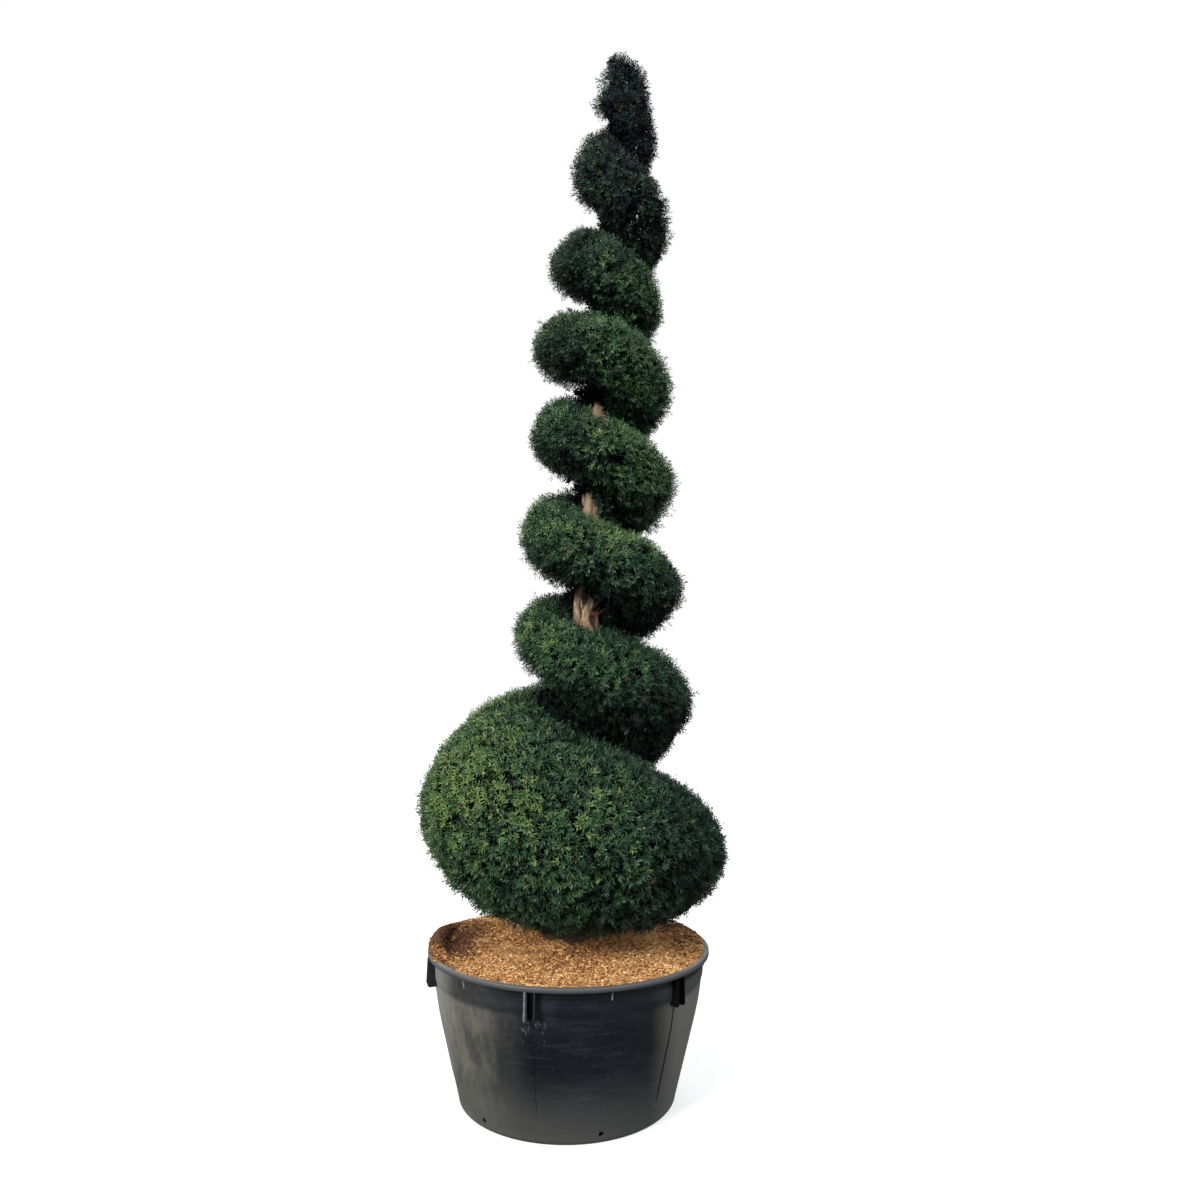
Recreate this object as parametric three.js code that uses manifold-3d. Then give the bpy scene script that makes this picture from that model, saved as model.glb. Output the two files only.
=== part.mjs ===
// A tall conifer clipped into a rising spiral, in its round nursery tub.
//
// Millimetres. +Z is up, the front faces -Y and the right side +X. The origin is the centre of
// the tub's flat underside. One THREE.Mesh for each sub-part: tub, soil, trunk, and one for each
// quarter of a turn of the clipped foliage.

import * as THREE from 'three';
import { mergeVertices } from 'three/addons/utils/BufferGeometryUtils.js';
import Module from 'manifold-3d';

const wasm = await Module();
wasm.setup();

// ---------------------------------------------------------------- driving sizes

const CLEARANCE = 0.3;            // left between two pieces that touch

const TUB = {
  height: 581,
  lipRadius: 572,                 // outside of the flat lip
  lipWidth: 19,                   // the lip's flat top, from its outer edge to the bore
  lipDepth: 18,                   // the lip's upright outer face
  lipBevel: 3,
  topRadius: 546,                 // outside of the wall just under the lip
  baseRadius: 430,                // outside of the wall, run on down to the ground
  slope: 0.2554,                  // how fast the straight lower wall widens
  shoulder: 330,                  // above this the wall curves in until it stands upright
  shoulderSteps: 2,
  cornerRadius: 20,               // rounded edge round the base
  cornerSteps: 2,
  wall: 6,
  floor: 8,
  bandHeight: 82,                 // thicker band under the lip
  bandProud: 4,
  segments: 40,
};

const LUG = { count: 6, firstAngle: -72, width: 42, height: 100, reach: 568, footReach: 560, plate: 6 };
const GUSSET = { firstAngle: -42, height: 26, plate: 5 };
const SEAM = { width: 5, proud: 2.5, foot: 95 };
const BITE = 2;                   // how far the lugs and gussets reach up into the lip
const DRAIN = { firstAngle: 18, radius: 10, height: 37, length: 36, sides: 8 };

const SOIL = {
  rim: 573,                       // height of the surface along the wall
  rise: 14,                       // how much higher it is at the trunk
  flatRadius: 150,                // level ground round the trunk's foot
  heapHeight: 26,                 // chips thrown up at the left, towards the back
  heapAngle: 158,
  heapRadius: 400,
  heapSpread: 120,
  backRise: 14,                   // the surface is higher along the back of the rim
  rings: 4,
};

const TRUNK = {
  top: 4395,
  footRadius: 84,
  topRadius: 9,
  flare: 34,                      // extra radius at the root flare
  flareHeight: 130,
  flutes: 5,                      // shallow ribs that run up the stem
  fluteDepth: 0.07,
  fluteTwist: 700,                // height over which a rib creeps round by one radian
  bow: 14,                        // how far its middle bends back from the straight lean
  sides: 12,
  rings: 18,
  crowding: 1.25,                 // over 1: the rings lie closer together at the foot
};

// The whole plant leans to the right along a straight axis, which leaves the soil at the middle.
const LEAN = { foot: 580, slope: 0.0552 };

// The spiral climbs from the right over the front to the left and on round the back. A turn is
// counted from where the band passes the right side. Each value is for one half turn: right,
// left, right, left and so on, and the first one is for the left side below turn one.
const FIRST_HALF = -0.5;
const GROOVE = [
  609, 1285, 1635, 1844, 2049, 2288, 2500, 2719, 2936, 3147, 3309, 3501, 3729, 3920, 4218, 4345,
];
const REACH = [
  470, 626, 657, 456, 325, 389, 334, 337, 323, 303, 340, 238, 289, 250, 219, 176, 132, 108,
];
// Half the groove's width, by half turn as above, and how much more it opens at the front and
// the back of each turn.
const OPENING = [14, 30, 12, 14, 12, 40, 12, 28, 16, 14, 14, 14, 16, 26, 16, 8];
const OPENING_AHEAD = [[0.25, 10], [1.25, 50], [2.25, 40], [3.25, 28], [4.25, 8], [5.25, 0]];

// The lowest height of the foliage on turn one: highest over the soil at the right and the front.
const UNDERSIDE = [[-0.2, 676], [0, 690], [0.25, 684], [0.45, 652], [0.75, 622], [1, 612]];

const BAND = {
  trunkOpening: 0.25,             // share of the half height that the groove takes at the trunk
  trunkOpeningMost: 60,
  core: 0.4,                      // the sections start inside the stem, at this share of its radius
  thinnest: 30,                   // height of the band where it starts
  roundTop: 1.1,                  // depth of the rounding above the face, against its height
  roundUnder: 1.12,
  roundShift: 0.16,               // rounder on top at the right, rounder below at the left
  roundTopMost: 0.8,              // the most of the reach that the rounding takes on top
  roundUnderMost: 0.95,
  underCurve: 0.86,               // under 1: the underside draws in faster than a circle
  sag: 6,                         // how far the face hangs below the middle
  droop: 14,                      // and how much further at the right, less at the left
  swell: 4.7,                     // height of each of the three swells in the clipped surface
  swellUp: 0.4,                   // share of a swell that also lifts or lowers the surface
  start: -0.375,                  // in turns
  tipStart: 7,                    // the top winds once round the stem, from the right to the right
  tipHeight: 4549,
  tipUnder: 0.3,                  // share of the reach where the tip's underside starts
  tipShoulder: 4400,              // above this the top closes in, round on all sides
  tipRadius: 102,
  tipNod: 58,                     // how far the last tip, over the stem's end, bends to the left
  arcSteps: 8,                    // steps round a section's outer half
  stations: 4,                    // steps along a quarter turn
};

const COLOUR = { tub: 0x2b2d31, soil: 0xa87b4d, trunk: 0x8f6d53, low: 0x3f6a3c, high: 0x1c3530 };

// ---------------------------------------------------------------- small helpers

const radians = THREE.MathUtils.degToRad;
const lerp = THREE.MathUtils.lerp;

// Value at x of a list of [position, value] pairs, in a straight line from each pair to the next.
function follow(pairs, x) {
  const next = pairs.findIndex(([position]) => position >= x);
  if (next === 0) return pairs[0][1];
  if (next < 0) return pairs.at(-1)[1];
  const [x0, y0] = pairs[next - 1];
  const [x1, y1] = pairs[next];
  return lerp(y0, y1, (x - x0) / (x1 - x0));
}

// Value at a number of turns of a list kept by half turns, as a smooth Catmull-Rom curve.
function byTurn(list, turns) {
  const place = (turns - FIRST_HALF) * 2;
  const at = Math.min(Math.max(Math.floor(place), 0), list.length - 2);
  const t = Math.min(Math.max(place - at, 0), 1);
  const [a, b, c, d] = [-1, 0, 1, 2].map((k) => list[Math.min(Math.max(at + k, 0), list.length - 1)]);
  return b + 0.5 * t * (c - a + t * (2 * a - 5 * b + 4 * c - d + t * (3 * (b - c) + d - a)));
}

// Low swells of a clipped surface, the same for every piece that passes here. Their lengths
// share no factor, so the sum doesn't repeat along the plant.
function swell(x, y, z) {
  const waves = [x / 61 + z / 83, y / 67 - z / 71, (x - y) / 43 + z / 59];
  return waves.reduce((sum, wave) => sum + BAND.swell * Math.sin(wave), 0);
}

// A manifold-3d solid from a closed geometry, with its faces turned outward.
function solidOf(geometry) {
  const bare = new THREE.BufferGeometry();
  bare.setAttribute('position', geometry.getAttribute('position'));
  bare.setIndex(geometry.index);
  const merged = mergeVertices(bare, 1e-3);
  const points = merged.getAttribute('position').array;
  const corner = (i, v) => v.fromArray(points, 3 * i);
  const [a, b, c] = [new THREE.Vector3(), new THREE.Vector3(), new THREE.Vector3()];
  const faces = [];
  let volume = 0;
  for (let f = 0; f < merged.index.count; f += 3) {
    const [i, j, k] = [0, 1, 2].map((n) => merged.index.getX(f + n));
    if (i === j || j === k || k === i) continue;
    faces.push([i, j, k]);
    volume += corner(i, a).dot(corner(j, b).cross(corner(k, c)));
  }
  if (volume < 0) faces.forEach((face) => face.reverse());
  const mesh = new wasm.Mesh({
    numProp: 3,
    vertProperties: Float32Array.from(points),
    triVerts: Uint32Array.from(faces.flat()),
  });
  return new wasm.Manifold(mesh);
}

function geometryOf(solid) {
  const mesh = solid.getMesh();
  const geometry = new THREE.BufferGeometry();
  geometry.setAttribute('position', new THREE.BufferAttribute(mesh.vertProperties, 3));
  geometry.setIndex(new THREE.BufferAttribute(mesh.triVerts, 1));
  geometry.computeVertexNormals();
  return geometry;
}

// A closed solid over a list of rings that all have the same number of points.
function loft(rings) {
  const count = rings[0].length;
  const points = rings.flat();
  const faces = [];
  for (let r = 0; r + 1 < rings.length; r += 1) {
    for (let i = 0; i < count; i += 1) {
      const [p, q] = [r * count + i, r * count + (i + 1) % count];
      faces.push(p, q, p + count, q, q + count, p + count);
    }
  }
  for (const [ring, turned] of [[rings[0], true], [rings.at(-1), false]]) {
    const first = points.length === rings.length * count ? 0 : (rings.length - 1) * count;
    const middle = ring.reduce((sum, p) => sum.add(p), new THREE.Vector3()).divideScalar(count);
    points.push(middle);
    for (let i = 0; i < count; i += 1) {
      const [p, q] = [first + i, first + (i + 1) % count];
      faces.push(...(turned ? [q, p, points.length - 1] : [p, q, points.length - 1]));
    }
  }
  const geometry = new THREE.BufferGeometry().setFromPoints(points);
  geometry.setIndex(faces);
  return geometry;
}

// Turns a lathe's upright axis from +Y to +Z.
function lathe(profile, segments) {
  const points = profile.map(([radius, height]) => new THREE.Vector2(radius, height));
  return new THREE.LatheGeometry(points, segments).rotateX(Math.PI / 2);
}

// ---------------------------------------------------------------- tub

// Outside radius of the tub's wall: a straight taper that bends upright under the lip.
function wallRadius(height) {
  const { baseRadius, topRadius, slope, shoulder } = TUB;
  const underLip = TUB.height - TUB.lipDepth;
  const excess = baseRadius + slope * underLip - topRadius;
  const bent = Math.max(height - shoulder, 0) / (underLip - shoulder);
  return baseRadius + slope * height - excess * bent ** 2;
}

const shoulderHeights = Array.from({ length: TUB.shoulderSteps }, (_, i) => (
  lerp(TUB.shoulder, TUB.height - TUB.lipDepth - TUB.bandHeight, i / TUB.shoulderSteps)
));

// The inside of the tub as [height, radius] pairs, from the floor's edge up to the lip.
function boreOutline() {
  const underLip = TUB.height - TUB.lipDepth;
  const foot = wallRadius(TUB.cornerRadius);
  return [
    [TUB.floor, foot - TUB.cornerRadius],
    [TUB.cornerRadius, foot - TUB.wall],
    ...shoulderHeights.map((height) => [height, wallRadius(height) - TUB.wall]),
    [underLip - TUB.wall, wallRadius(underLip) - TUB.wall],
    [TUB.height - TUB.wall, TUB.lipRadius - TUB.lipWidth],
    [TUB.height, TUB.lipRadius - TUB.lipWidth],
  ];
}

// Degrees from the front, positive towards the right, to a turn about +Z from the +X side.
const bearing = (degrees) => radians(degrees - 90);

function tubShell() {
  const { height, lipRadius, lipBevel, cornerRadius, cornerSteps, bandHeight, bandProud } = TUB;
  const underLip = height - TUB.lipDepth;
  const bandFoot = underLip - bandHeight;
  const corner = [];
  for (let i = 0; i <= cornerSteps; i += 1) {
    const turn = (Math.PI / 2) * (i / cornerSteps);
    const centre = wallRadius(cornerRadius) - cornerRadius;
    corner.push([centre + cornerRadius * Math.sin(turn), cornerRadius * (1 - Math.cos(turn))]);
  }
  const outside = [
    [0, 0],
    ...corner,
    ...shoulderHeights.map((level) => [wallRadius(level), level]),
    [wallRadius(bandFoot), bandFoot],
    [wallRadius(bandFoot) + bandProud, bandFoot + 2 * bandProud],
    [wallRadius(underLip) + bandProud, underLip],
    [lipRadius, underLip],
    [lipRadius, height - lipBevel],
    [lipRadius - lipBevel, height],
  ];
  const inside = [[0, TUB.floor], ...boreOutline().map(([level, radius]) => [radius, level])].reverse();
  return solidOf(lathe([...outside, ...inside], TUB.segments));
}

// An upright plate on the tub's wall: its outline in radius and height, its bearing from the
// front in degrees, and how far it stands to one side of that bearing.
function plate(outline, degrees, thickness, aside = 0) {
  const shape = new THREE.Shape(outline.map(([radius, height]) => new THREE.Vector2(radius, height)));
  const geometry = new THREE.ExtrudeGeometry(shape, { depth: thickness, bevelEnabled: false });
  geometry.translate(0, 0, -thickness / 2).rotateX(Math.PI / 2).translate(0, aside, 0);
  return solidOf(geometry.rotateZ(bearing(degrees)));
}

function tubFittings() {
  const underLip = TUB.height - TUB.lipDepth;
  const bore = boreOutline();
  const inWall = (height) => (wallRadius(height) + follow(bore, height)) / 2;
  const top = underLip + BITE;
  const fittings = [];
  for (let i = 0; i < LUG.count; i += 1) {
    const turn = (360 / LUG.count) * i;
    const lugFoot = underLip - LUG.height;
    const lug = [
      [inWall(lugFoot), lugFoot],
      [LUG.footReach, lugFoot],
      [LUG.reach, top],
      [LUG.reach - TUB.lipWidth, top],
      [inWall(underLip - TUB.wall), underLip - TUB.wall],
    ];
    for (const side of [-1, 1]) {
      const aside = side * (LUG.width - LUG.plate) / 2;
      fittings.push(plate(lug, LUG.firstAngle + turn, LUG.plate, aside));
    }
    const levels = [SEAM.foot, ...shoulderHeights, lugFoot];
    const seam = [
      ...levels.map((height) => [wallRadius(height) + SEAM.proud, height]),
      ...levels.map((height) => [inWall(height), height]).reverse(),
    ];
    fittings.push(plate(seam, LUG.firstAngle + turn, SEAM.width));
    const gussetFoot = underLip - GUSSET.height;
    const gusset = [
      [inWall(gussetFoot), gussetFoot],
      [wallRadius(gussetFoot) + TUB.wall, gussetFoot],
      [LUG.reach, underLip - GUSSET.plate],
      [LUG.reach, top],
      [LUG.reach - TUB.lipWidth, top],
      [inWall(underLip - TUB.wall), underLip - TUB.wall],
    ];
    fittings.push(plate(gusset, GUSSET.firstAngle + turn, GUSSET.plate));
  }
  return fittings;
}

function drains() {
  return Array.from({ length: LUG.count }, (_, i) => {
    const hole = new THREE.CylinderGeometry(DRAIN.radius, DRAIN.radius, DRAIN.length, DRAIN.sides);
    hole.rotateZ(Math.PI / 2).translate(wallRadius(DRAIN.height), 0, DRAIN.height);
    return solidOf(hole.rotateZ(bearing(DRAIN.firstAngle + (360 / LUG.count) * i)));
  });
}

function tub() {
  const joined = tubFittings().reduce((body, piece) => body.add(piece), tubShell());
  return geometryOf(drains().reduce((body, hole) => body.subtract(hole), joined));
}

// ---------------------------------------------------------------- soil

function soilHeight(x, y) {
  const radius = Math.hypot(x, y);
  const edge = TUB.lipRadius - TUB.lipWidth;
  const inward = THREE.MathUtils.clamp((edge - radius) / (edge - SOIL.flatRadius), 0, 1);
  const heapX = -SOIL.heapRadius * Math.abs(Math.cos(radians(SOIL.heapAngle)));
  const heapY = SOIL.heapRadius * Math.sin(radians(SOIL.heapAngle));
  const fromHeap = Math.hypot(x - heapX, y - heapY) / SOIL.heapSpread;
  const dome = SOIL.rise * Math.sin((Math.PI / 2) * inward);
  const back = SOIL.backRise * THREE.MathUtils.smoothstep(y, 0, edge) * (1 - inward);
  return SOIL.rim + dome + back + SOIL.heapHeight * Math.exp(-(fromHeap ** 2));
}

function soil() {
  const bore = boreOutline();
  const apart = 1.5 * CLEARANCE;
  const side = bore.slice(0, -2).map(([level, radius]) => [radius - apart, level + CLEARANCE]);
  const edge = follow(bore, SOIL.rim) - apart;
  const surface = Array.from({ length: SOIL.rings }, (_, i) => [edge * (1 - i / SOIL.rings), SOIL.rim]);
  const profile = [[0, TUB.floor + CLEARANCE], ...side, ...surface, [0, SOIL.rim]];
  const geometry = lathe(profile, TUB.segments);
  const place = geometry.getAttribute('position');
  for (let i = 0; i < place.count; i += 1) {
    if (Math.abs(place.getZ(i) - SOIL.rim) > 1e-3) continue;
    place.setZ(i, soilHeight(place.getX(i), place.getY(i)));
  }
  return geometryOf(solidOf(geometry));
}

// ---------------------------------------------------------------- trunk

const trunkFoot = SOIL.rim + SOIL.rise + CLEARANCE;

function trunkRadius(height) {
  const up = (height - trunkFoot) / (TRUNK.top - trunkFoot);
  const flare = TRUNK.flare * Math.exp(-(height - trunkFoot) / TRUNK.flareHeight);
  return lerp(TRUNK.footRadius, TRUNK.topRadius, Math.min(Math.max(up, 0), 1)) + flare;
}

const axisX = (height) => LEAN.slope * (height - LEAN.foot);

function trunkX(height) {
  const up = (height - trunkFoot) / (TRUNK.top - trunkFoot);
  return axisX(height) - TRUNK.bow * Math.sin(Math.PI * up);
}

// The stem, or the stem grown by a clearance, from the flat cut on the soil to its tip.
function trunk(extra = 0) {
  const { rings, sides, flutes, fluteDepth, fluteTwist, crowding, top } = TRUNK;
  const list = [];
  for (let r = 0; r <= rings; r += 1) {
    const height = lerp(trunkFoot - extra, top + extra, (r / rings) ** crowding);
    const ring = [];
    for (let i = 0; i < sides; i += 1) {
      const turn = (2 * Math.PI * i) / sides;
      const rib = 1 + fluteDepth * Math.cos(flutes * turn + height / fluteTwist);
      const radius = trunkRadius(height) * rib + extra;
      ring.push(new THREE.Vector3(trunkX(height) + radius * Math.cos(turn), radius * Math.sin(turn), height));
    }
    list.push(ring);
  }
  return solidOf(loft(list));
}

// ---------------------------------------------------------------- foliage

const grooveAt = (turns) => byTurn(GROOVE, turns);
const reachAt = (turns) => byTurn(REACH, turns);

function openingAt(turns) {
  const ahead = Math.sin(2 * Math.PI * turns) ** 2;
  return byTurn(OPENING, turns) + follow(OPENING_AHEAD, turns) * ahead;
}

// A section of the band where it has climbed a number of turns, as [radius, height] pairs that
// start at the trunk and run out along the underside, round the outer face and back on top.
function bandSection(turns) {
  const floor = Math.max(grooveAt(turns - 1) + openingAt(turns - 1), follow(UNDERSIDE, turns));
  const ceiling = Math.max(grooveAt(turns) - openingAt(turns), floor + BAND.thinnest);
  const middle = (floor + ceiling) / 2;
  const half = (ceiling - floor) / 2;
  const reach = reachAt(turns);
  const rightward = Math.cos(2 * Math.PI * turns);
  const shift = BAND.roundShift * rightward;
  const top = Math.min((BAND.roundTop + shift) * half, BAND.roundTopMost * reach);
  const under = Math.min((BAND.roundUnder - shift) * half, BAND.roundUnderMost * reach);
  const section = [];
  for (let i = 0; i <= BAND.arcSteps; i += 1) {
    const turn = Math.PI * (i / BAND.arcSteps - 0.5);
    const inset = 1 - Math.cos(turn);
    const round = turn < 0 ? under * inset ** BAND.underCurve : top * inset;
    const hang = (BAND.sag + BAND.droop * rightward) * Math.cos(turn);
    const level = middle + half * Math.sin(turn) - hang;
    section.push([reach - round, level]);
  }
  const inner = half - Math.min(BAND.trunkOpening * half, BAND.trunkOpeningMost);
  const core = BAND.core * trunkRadius(middle);
  return [[core, middle - inner], ...section, [core, middle + inner]];
}

// A section of the top: a round underside, a face that closes in to the shoulder, and a rounded
// point over the stem that is the same from all sides.
function tipSection(turns) {
  const { tipHeight, tipUnder, tipShoulder, tipRadius, arcSteps } = BAND;
  const floor = grooveAt(turns - 1) + openingAt(turns - 1);
  const reach = reachAt(turns);
  const belly = Math.min(reach, (tipShoulder - floor) / 2);
  const steps = arcSteps / 2;
  const section = [];
  for (let i = 0; i <= steps; i += 1) {
    const turn = (Math.PI / 2) * (i / steps);
    section.push([reach * lerp(tipUnder, 1, Math.sin(turn)), floor + belly * (1 - Math.cos(turn))]);
  }
  section.push([(reach + tipRadius) / 2, (floor + belly + tipShoulder) / 2]);
  for (let i = 0; i < steps; i += 1) {
    const turn = (Math.PI / 2) * (i / steps);
    section.push([tipRadius * Math.cos(turn), tipShoulder + (tipHeight - tipShoulder) * Math.sin(turn)]);
  }
  const core = [BAND.core * trunkRadius(floor), floor + BAND.trunkOpening * belly];
  return [core, ...section, [0, tipHeight], [0, TRUNK.top]];
}

// Stands a section up in its radial plane, with its outer points moved by the swells.
function standSection(section, turns, shift) {
  const angle = -2 * Math.PI * turns;
  const [across, along] = [Math.cos(angle), Math.sin(angle)];
  const middle = section.reduce((sum, [, height]) => sum + height, 0) / section.length;
  return section.map(([radius, height], i) => {
    const inner = i === 0 || i >= section.length - 2;
    const out = inner ? 0 : swell(axisX(height) + radius * across, radius * along, height);
    const level = height + BAND.swellUp * out * Math.sign(height - middle);
    const reach = radius + out;
    const x = axisX(level) + reach * across - shift * along;
    return new THREE.Vector3(x, reach * along + shift * across, level);
  });
}

// One mass of foliage between two places on the spiral, held off its neighbours at both ends.
function mass(sectionAt, from, to, steps) {
  const rings = [];
  for (let i = 0; i <= steps; i += 1) {
    const turns = lerp(from, to, i / steps);
    const end = (i === 0 ? -1 : 0) + (i === steps ? 1 : 0);
    rings.push(standSection(sectionAt(turns), turns, end * CLEARANCE / 2));
  }
  return solidOf(loft(rings));
}

// Bends the last tip to the left, above the stem's end.
function nodded(geometry) {
  const place = geometry.getAttribute('position');
  for (let i = 0; i < place.count; i += 1) {
    const above = Math.max(place.getZ(i) - TRUNK.top, 0) / (BAND.tipHeight - TRUNK.top);
    place.setX(i, place.getX(i) - BAND.tipNod * above ** 2);
  }
  return geometry;
}

function foliage() {
  const stem = trunk(CLEARANCE);
  const masses = [];
  const quarters = ['right', 'front', 'left', 'back'];
  const quarter = 1 / quarters.length;
  const count = quarters.length * BAND.tipStart;
  const start = mass(bandSection, BAND.start, -quarter / 2, BAND.stations);
  masses.push(['turn_1_start', start.subtract(stem)]);
  for (let i = 0; i < count; i += 1) {
    const from = (i - 0.5) * quarter;
    const to = i === count - 1 ? BAND.tipStart : from + quarter;
    const steps = i < quarters.length ? BAND.stations + 1 : BAND.stations;
    const name = `turn_${Math.floor(i * quarter) + 1}_${quarters[i % quarters.length]}`;
    masses.push([name, mass(bandSection, from, to, steps).subtract(stem)]);
  }
  const tip = mass(tipSection, BAND.tipStart, BAND.tipStart + 1, quarters.length * BAND.stations);
  masses.push(['tip', tip.subtract(stem)]);
  return masses;
}

// ---------------------------------------------------------------- the plant

const finish = (color, roughness) => new THREE.MeshStandardMaterial({ color, roughness, metalness: 0 });

function named(name, geometry, material) {
  const mesh = new THREE.Mesh(geometry, material);
  mesh.name = name;
  return mesh;
}

const plant = new THREE.Group();
plant.add(named('tub', tub(), finish(COLOUR.tub, 0.55)));
plant.add(named('soil', soil(), finish(COLOUR.soil, 0.95)));
plant.add(named('trunk', geometryOf(trunk()), finish(COLOUR.trunk, 0.85)));
const shades = foliage();
shades.forEach(([name, solid], i) => {
  const color = new THREE.Color(COLOUR.low).lerp(new THREE.Color(COLOUR.high), i / (shades.length - 1));
  plant.add(named(name, nodded(geometryOf(solid)), finish(color, 0.9)));
});

export default plant;
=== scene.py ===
"""The looks of a clipped spiral in its nursery tub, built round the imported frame.

Metres, +Z up, the front faces -Y and the right side +X. Every piece rides on the one body, root.
"""
import itertools
import math

import bpy
import numpy as np
from mathutils import Matrix, Vector
from mathutils.bvhtree import BVHTree
from mathutils.kdtree import KDTree


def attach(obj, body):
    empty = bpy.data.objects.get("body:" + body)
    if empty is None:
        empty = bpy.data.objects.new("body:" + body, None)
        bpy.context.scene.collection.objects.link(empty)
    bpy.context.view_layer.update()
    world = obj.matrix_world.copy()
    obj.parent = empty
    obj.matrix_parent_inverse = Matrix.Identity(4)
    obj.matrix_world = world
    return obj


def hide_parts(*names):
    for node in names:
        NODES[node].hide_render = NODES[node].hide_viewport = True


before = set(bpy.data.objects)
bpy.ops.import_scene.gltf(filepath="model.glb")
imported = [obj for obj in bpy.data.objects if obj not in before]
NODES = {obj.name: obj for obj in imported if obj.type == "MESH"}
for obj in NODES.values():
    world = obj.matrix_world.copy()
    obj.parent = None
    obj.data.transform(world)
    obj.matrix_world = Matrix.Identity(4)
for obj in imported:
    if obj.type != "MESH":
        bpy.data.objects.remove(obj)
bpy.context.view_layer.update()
MASSES = sorted(name for name in NODES if name.startswith("turn_") or name == "tip")

# ---------------------------------------------------------------- sizes

TUB = {
    "height": 0.581, "lip_radius": 0.572, "lip_width": 0.019, "lip_depth": 0.018,
    "top_radius": 0.546, "base_radius": 0.430, "slope": 0.2554, "shoulder": 0.330,
    "corner": 0.020, "wall": 0.006, "floor": 0.008, "band_height": 0.082, "band_proud": 0.004,
    "segments": 288,
}
UNDER_LIP = TUB["height"] - TUB["lip_depth"]
LUG = {"count": 6, "first": -72, "width": 0.042, "height": 0.100, "reach": 0.575, "foot": 0.577,
       "plate": 0.006}
GUSSET = {"first": -42, "height": 0.034, "plate": 0.004}
SEAM = {"width": 0.004, "proud": 0.0025, "foot": 0.095}
DRAIN = {"first": 18, "radius": 0.010, "height": 0.037}

SHOOTS = {
    "samples": 110000,        # places tried for them over the clipped surface
    "gap": 0.0145,            # the least distance between them there
    "twigs": 6200,            # the twig ends that they splay from
    "twig_depth": 0.052,      # how deep a twig ends below the surface
    "tip_depth": 0.0115,      # how deep a shoot ends; its needles reach on to the surface
    "low_depth": 0.008,       # how much deeper it ends on the broad lowest turn
    "uneven": 0.0055,         # how much that depth varies from shoot to shoot
    "tuft": 0.0135,           # how far tufts stand out from the clipped surface
    "rough_below": 0.7,       # how much more they do so underneath, where the shears hardly reach
    "sweep": 0.012,           # how far the tips lie above their twig ends, as they grow upwards
    "stray_share": 0.018,     # shoots that outgrew the last clipping
    "stray": 0.026,           # and how far
    "closing": 0.024,         # how much longer they are where they close over a narrow groove
    "stem": 0.0011,           # radius of a shoot at its root
}
NEEDLE = {"count": 12, "length": 0.0175, "width": 0.0040, "first": 0.45, "first_splay": 84,
          "last_splay": 56}

# Old growth inside, broad and painted near-black for its shade, that closes the view through the plant.
# CORE is a second layer of it, deeper in, where a mass is thick enough. It lies from near to far below the
# surface, has no blade nearer to it than clear, and shrinks where the foliage is thinner than full_room.
SHADE = {"gap": 0.0285, "near": 0.040, "far": 0.085, "length": 0.060, "clear": 0.028, "full_room": 0.20,
         "least_room": 0.0}
SHADE_NEEDLE = {"count": 10, "length": 0.048, "width": 0.017, "first": 0.05, "first_splay": 75,
                "last_splay": 35}
CORE = {"gap": 0.060, "near": 0.120, "far": 0.180, "length": 0.110, "clear": 0.060, "full_room": 0.40,
        "least_room": 0.29}
CORE_NEEDLE = {**SHADE_NEEDLE, "length": 0.090, "width": 0.034}
SHADE_SAMPLES = 36000       # places tried for each layer

# Short dark shoots on the stem, all round it but for the places where the bark is in view. A bare place
# has a first and a last turn about the stem at its middle, each with its change from foot to top.
COLLAR = {
    "shoots": 3000, "low_shoots": 700, "high_shoots": 1700,     # all along, and more low down and high up
    "foot": 0.055, "low_foot": 0.1,                             # above the stem's foot, and above that
    "low_top": 1.65, "high_foot": 3.3, "top": 4.32,             # above the ground
    "length": 0.090, "low_length": 0.200,
}
BARE = [
    {"low": 1.865, "high": 2.045, "first": (-170, 0), "last": (-44, -66)},
    {"low": 2.335, "high": 2.475, "first": (-168, -52), "last": (-84, -52)},
    {"low": 2.730, "high": 2.875, "first": (-150, -60), "last": (-60, -60)},
]
FRINGE = {"shoots": 230, "reach": 0.075, "wide": 80}        # shoots that hang over one side of them

SPRAY = (0.032, 32)         # size and seed of the swells that part the surface into sprays
HOLLOWS = {"count": 80, "radius": 0.021, "depth": 0.030}    # gaps that the clipping opened
MOST_KITES = 95000          # kites in one piece, each of two triangles

# ---------------------------------------------------------------- small helpers

GOLDEN = math.pi * (3 - math.sqrt(5))


def unit(v):
    return v / np.maximum(np.linalg.norm(v, axis=-1, keepdims=True), 1e-9)


def lerp(a, b, t):
    return a + (b - a) * t


def smooth(low, high, x):
    t = np.clip((x - low) / (high - low), 0, 1)
    return t * t * (3 - 2 * t)


def lattice(cells, seed):
    """A repeatable value between -1 and 1 for each whole-number cell."""
    mask = 0xFFFFFFFF
    h = (cells[..., 0] * 374761393 + cells[..., 1] * 668265263 + cells[..., 2] * 1440662683) & mask
    h = (h + seed * 2246822519) & mask
    h = ((h ^ (h >> 13)) * 1274126177) & mask
    return ((h ^ (h >> 16)) & 0xFFFFFF) / 0x7FFFFF - 1.0


def noise(points, size, seed=0):
    """Smooth value noise between -1 and 1, with swells about as long as size."""
    at = points / size
    cell = np.floor(at).astype(np.int64)
    f = at - cell
    f = f * f * (3 - 2 * f)
    total = np.zeros(points.shape[:-1])
    for corner in itertools.product((0, 1), repeat=3):
        corner = np.array(corner)
        total += np.prod(np.where(corner == 1, f, 1 - f), axis=-1) * lattice(cell + corner, seed)
    return total


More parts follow.
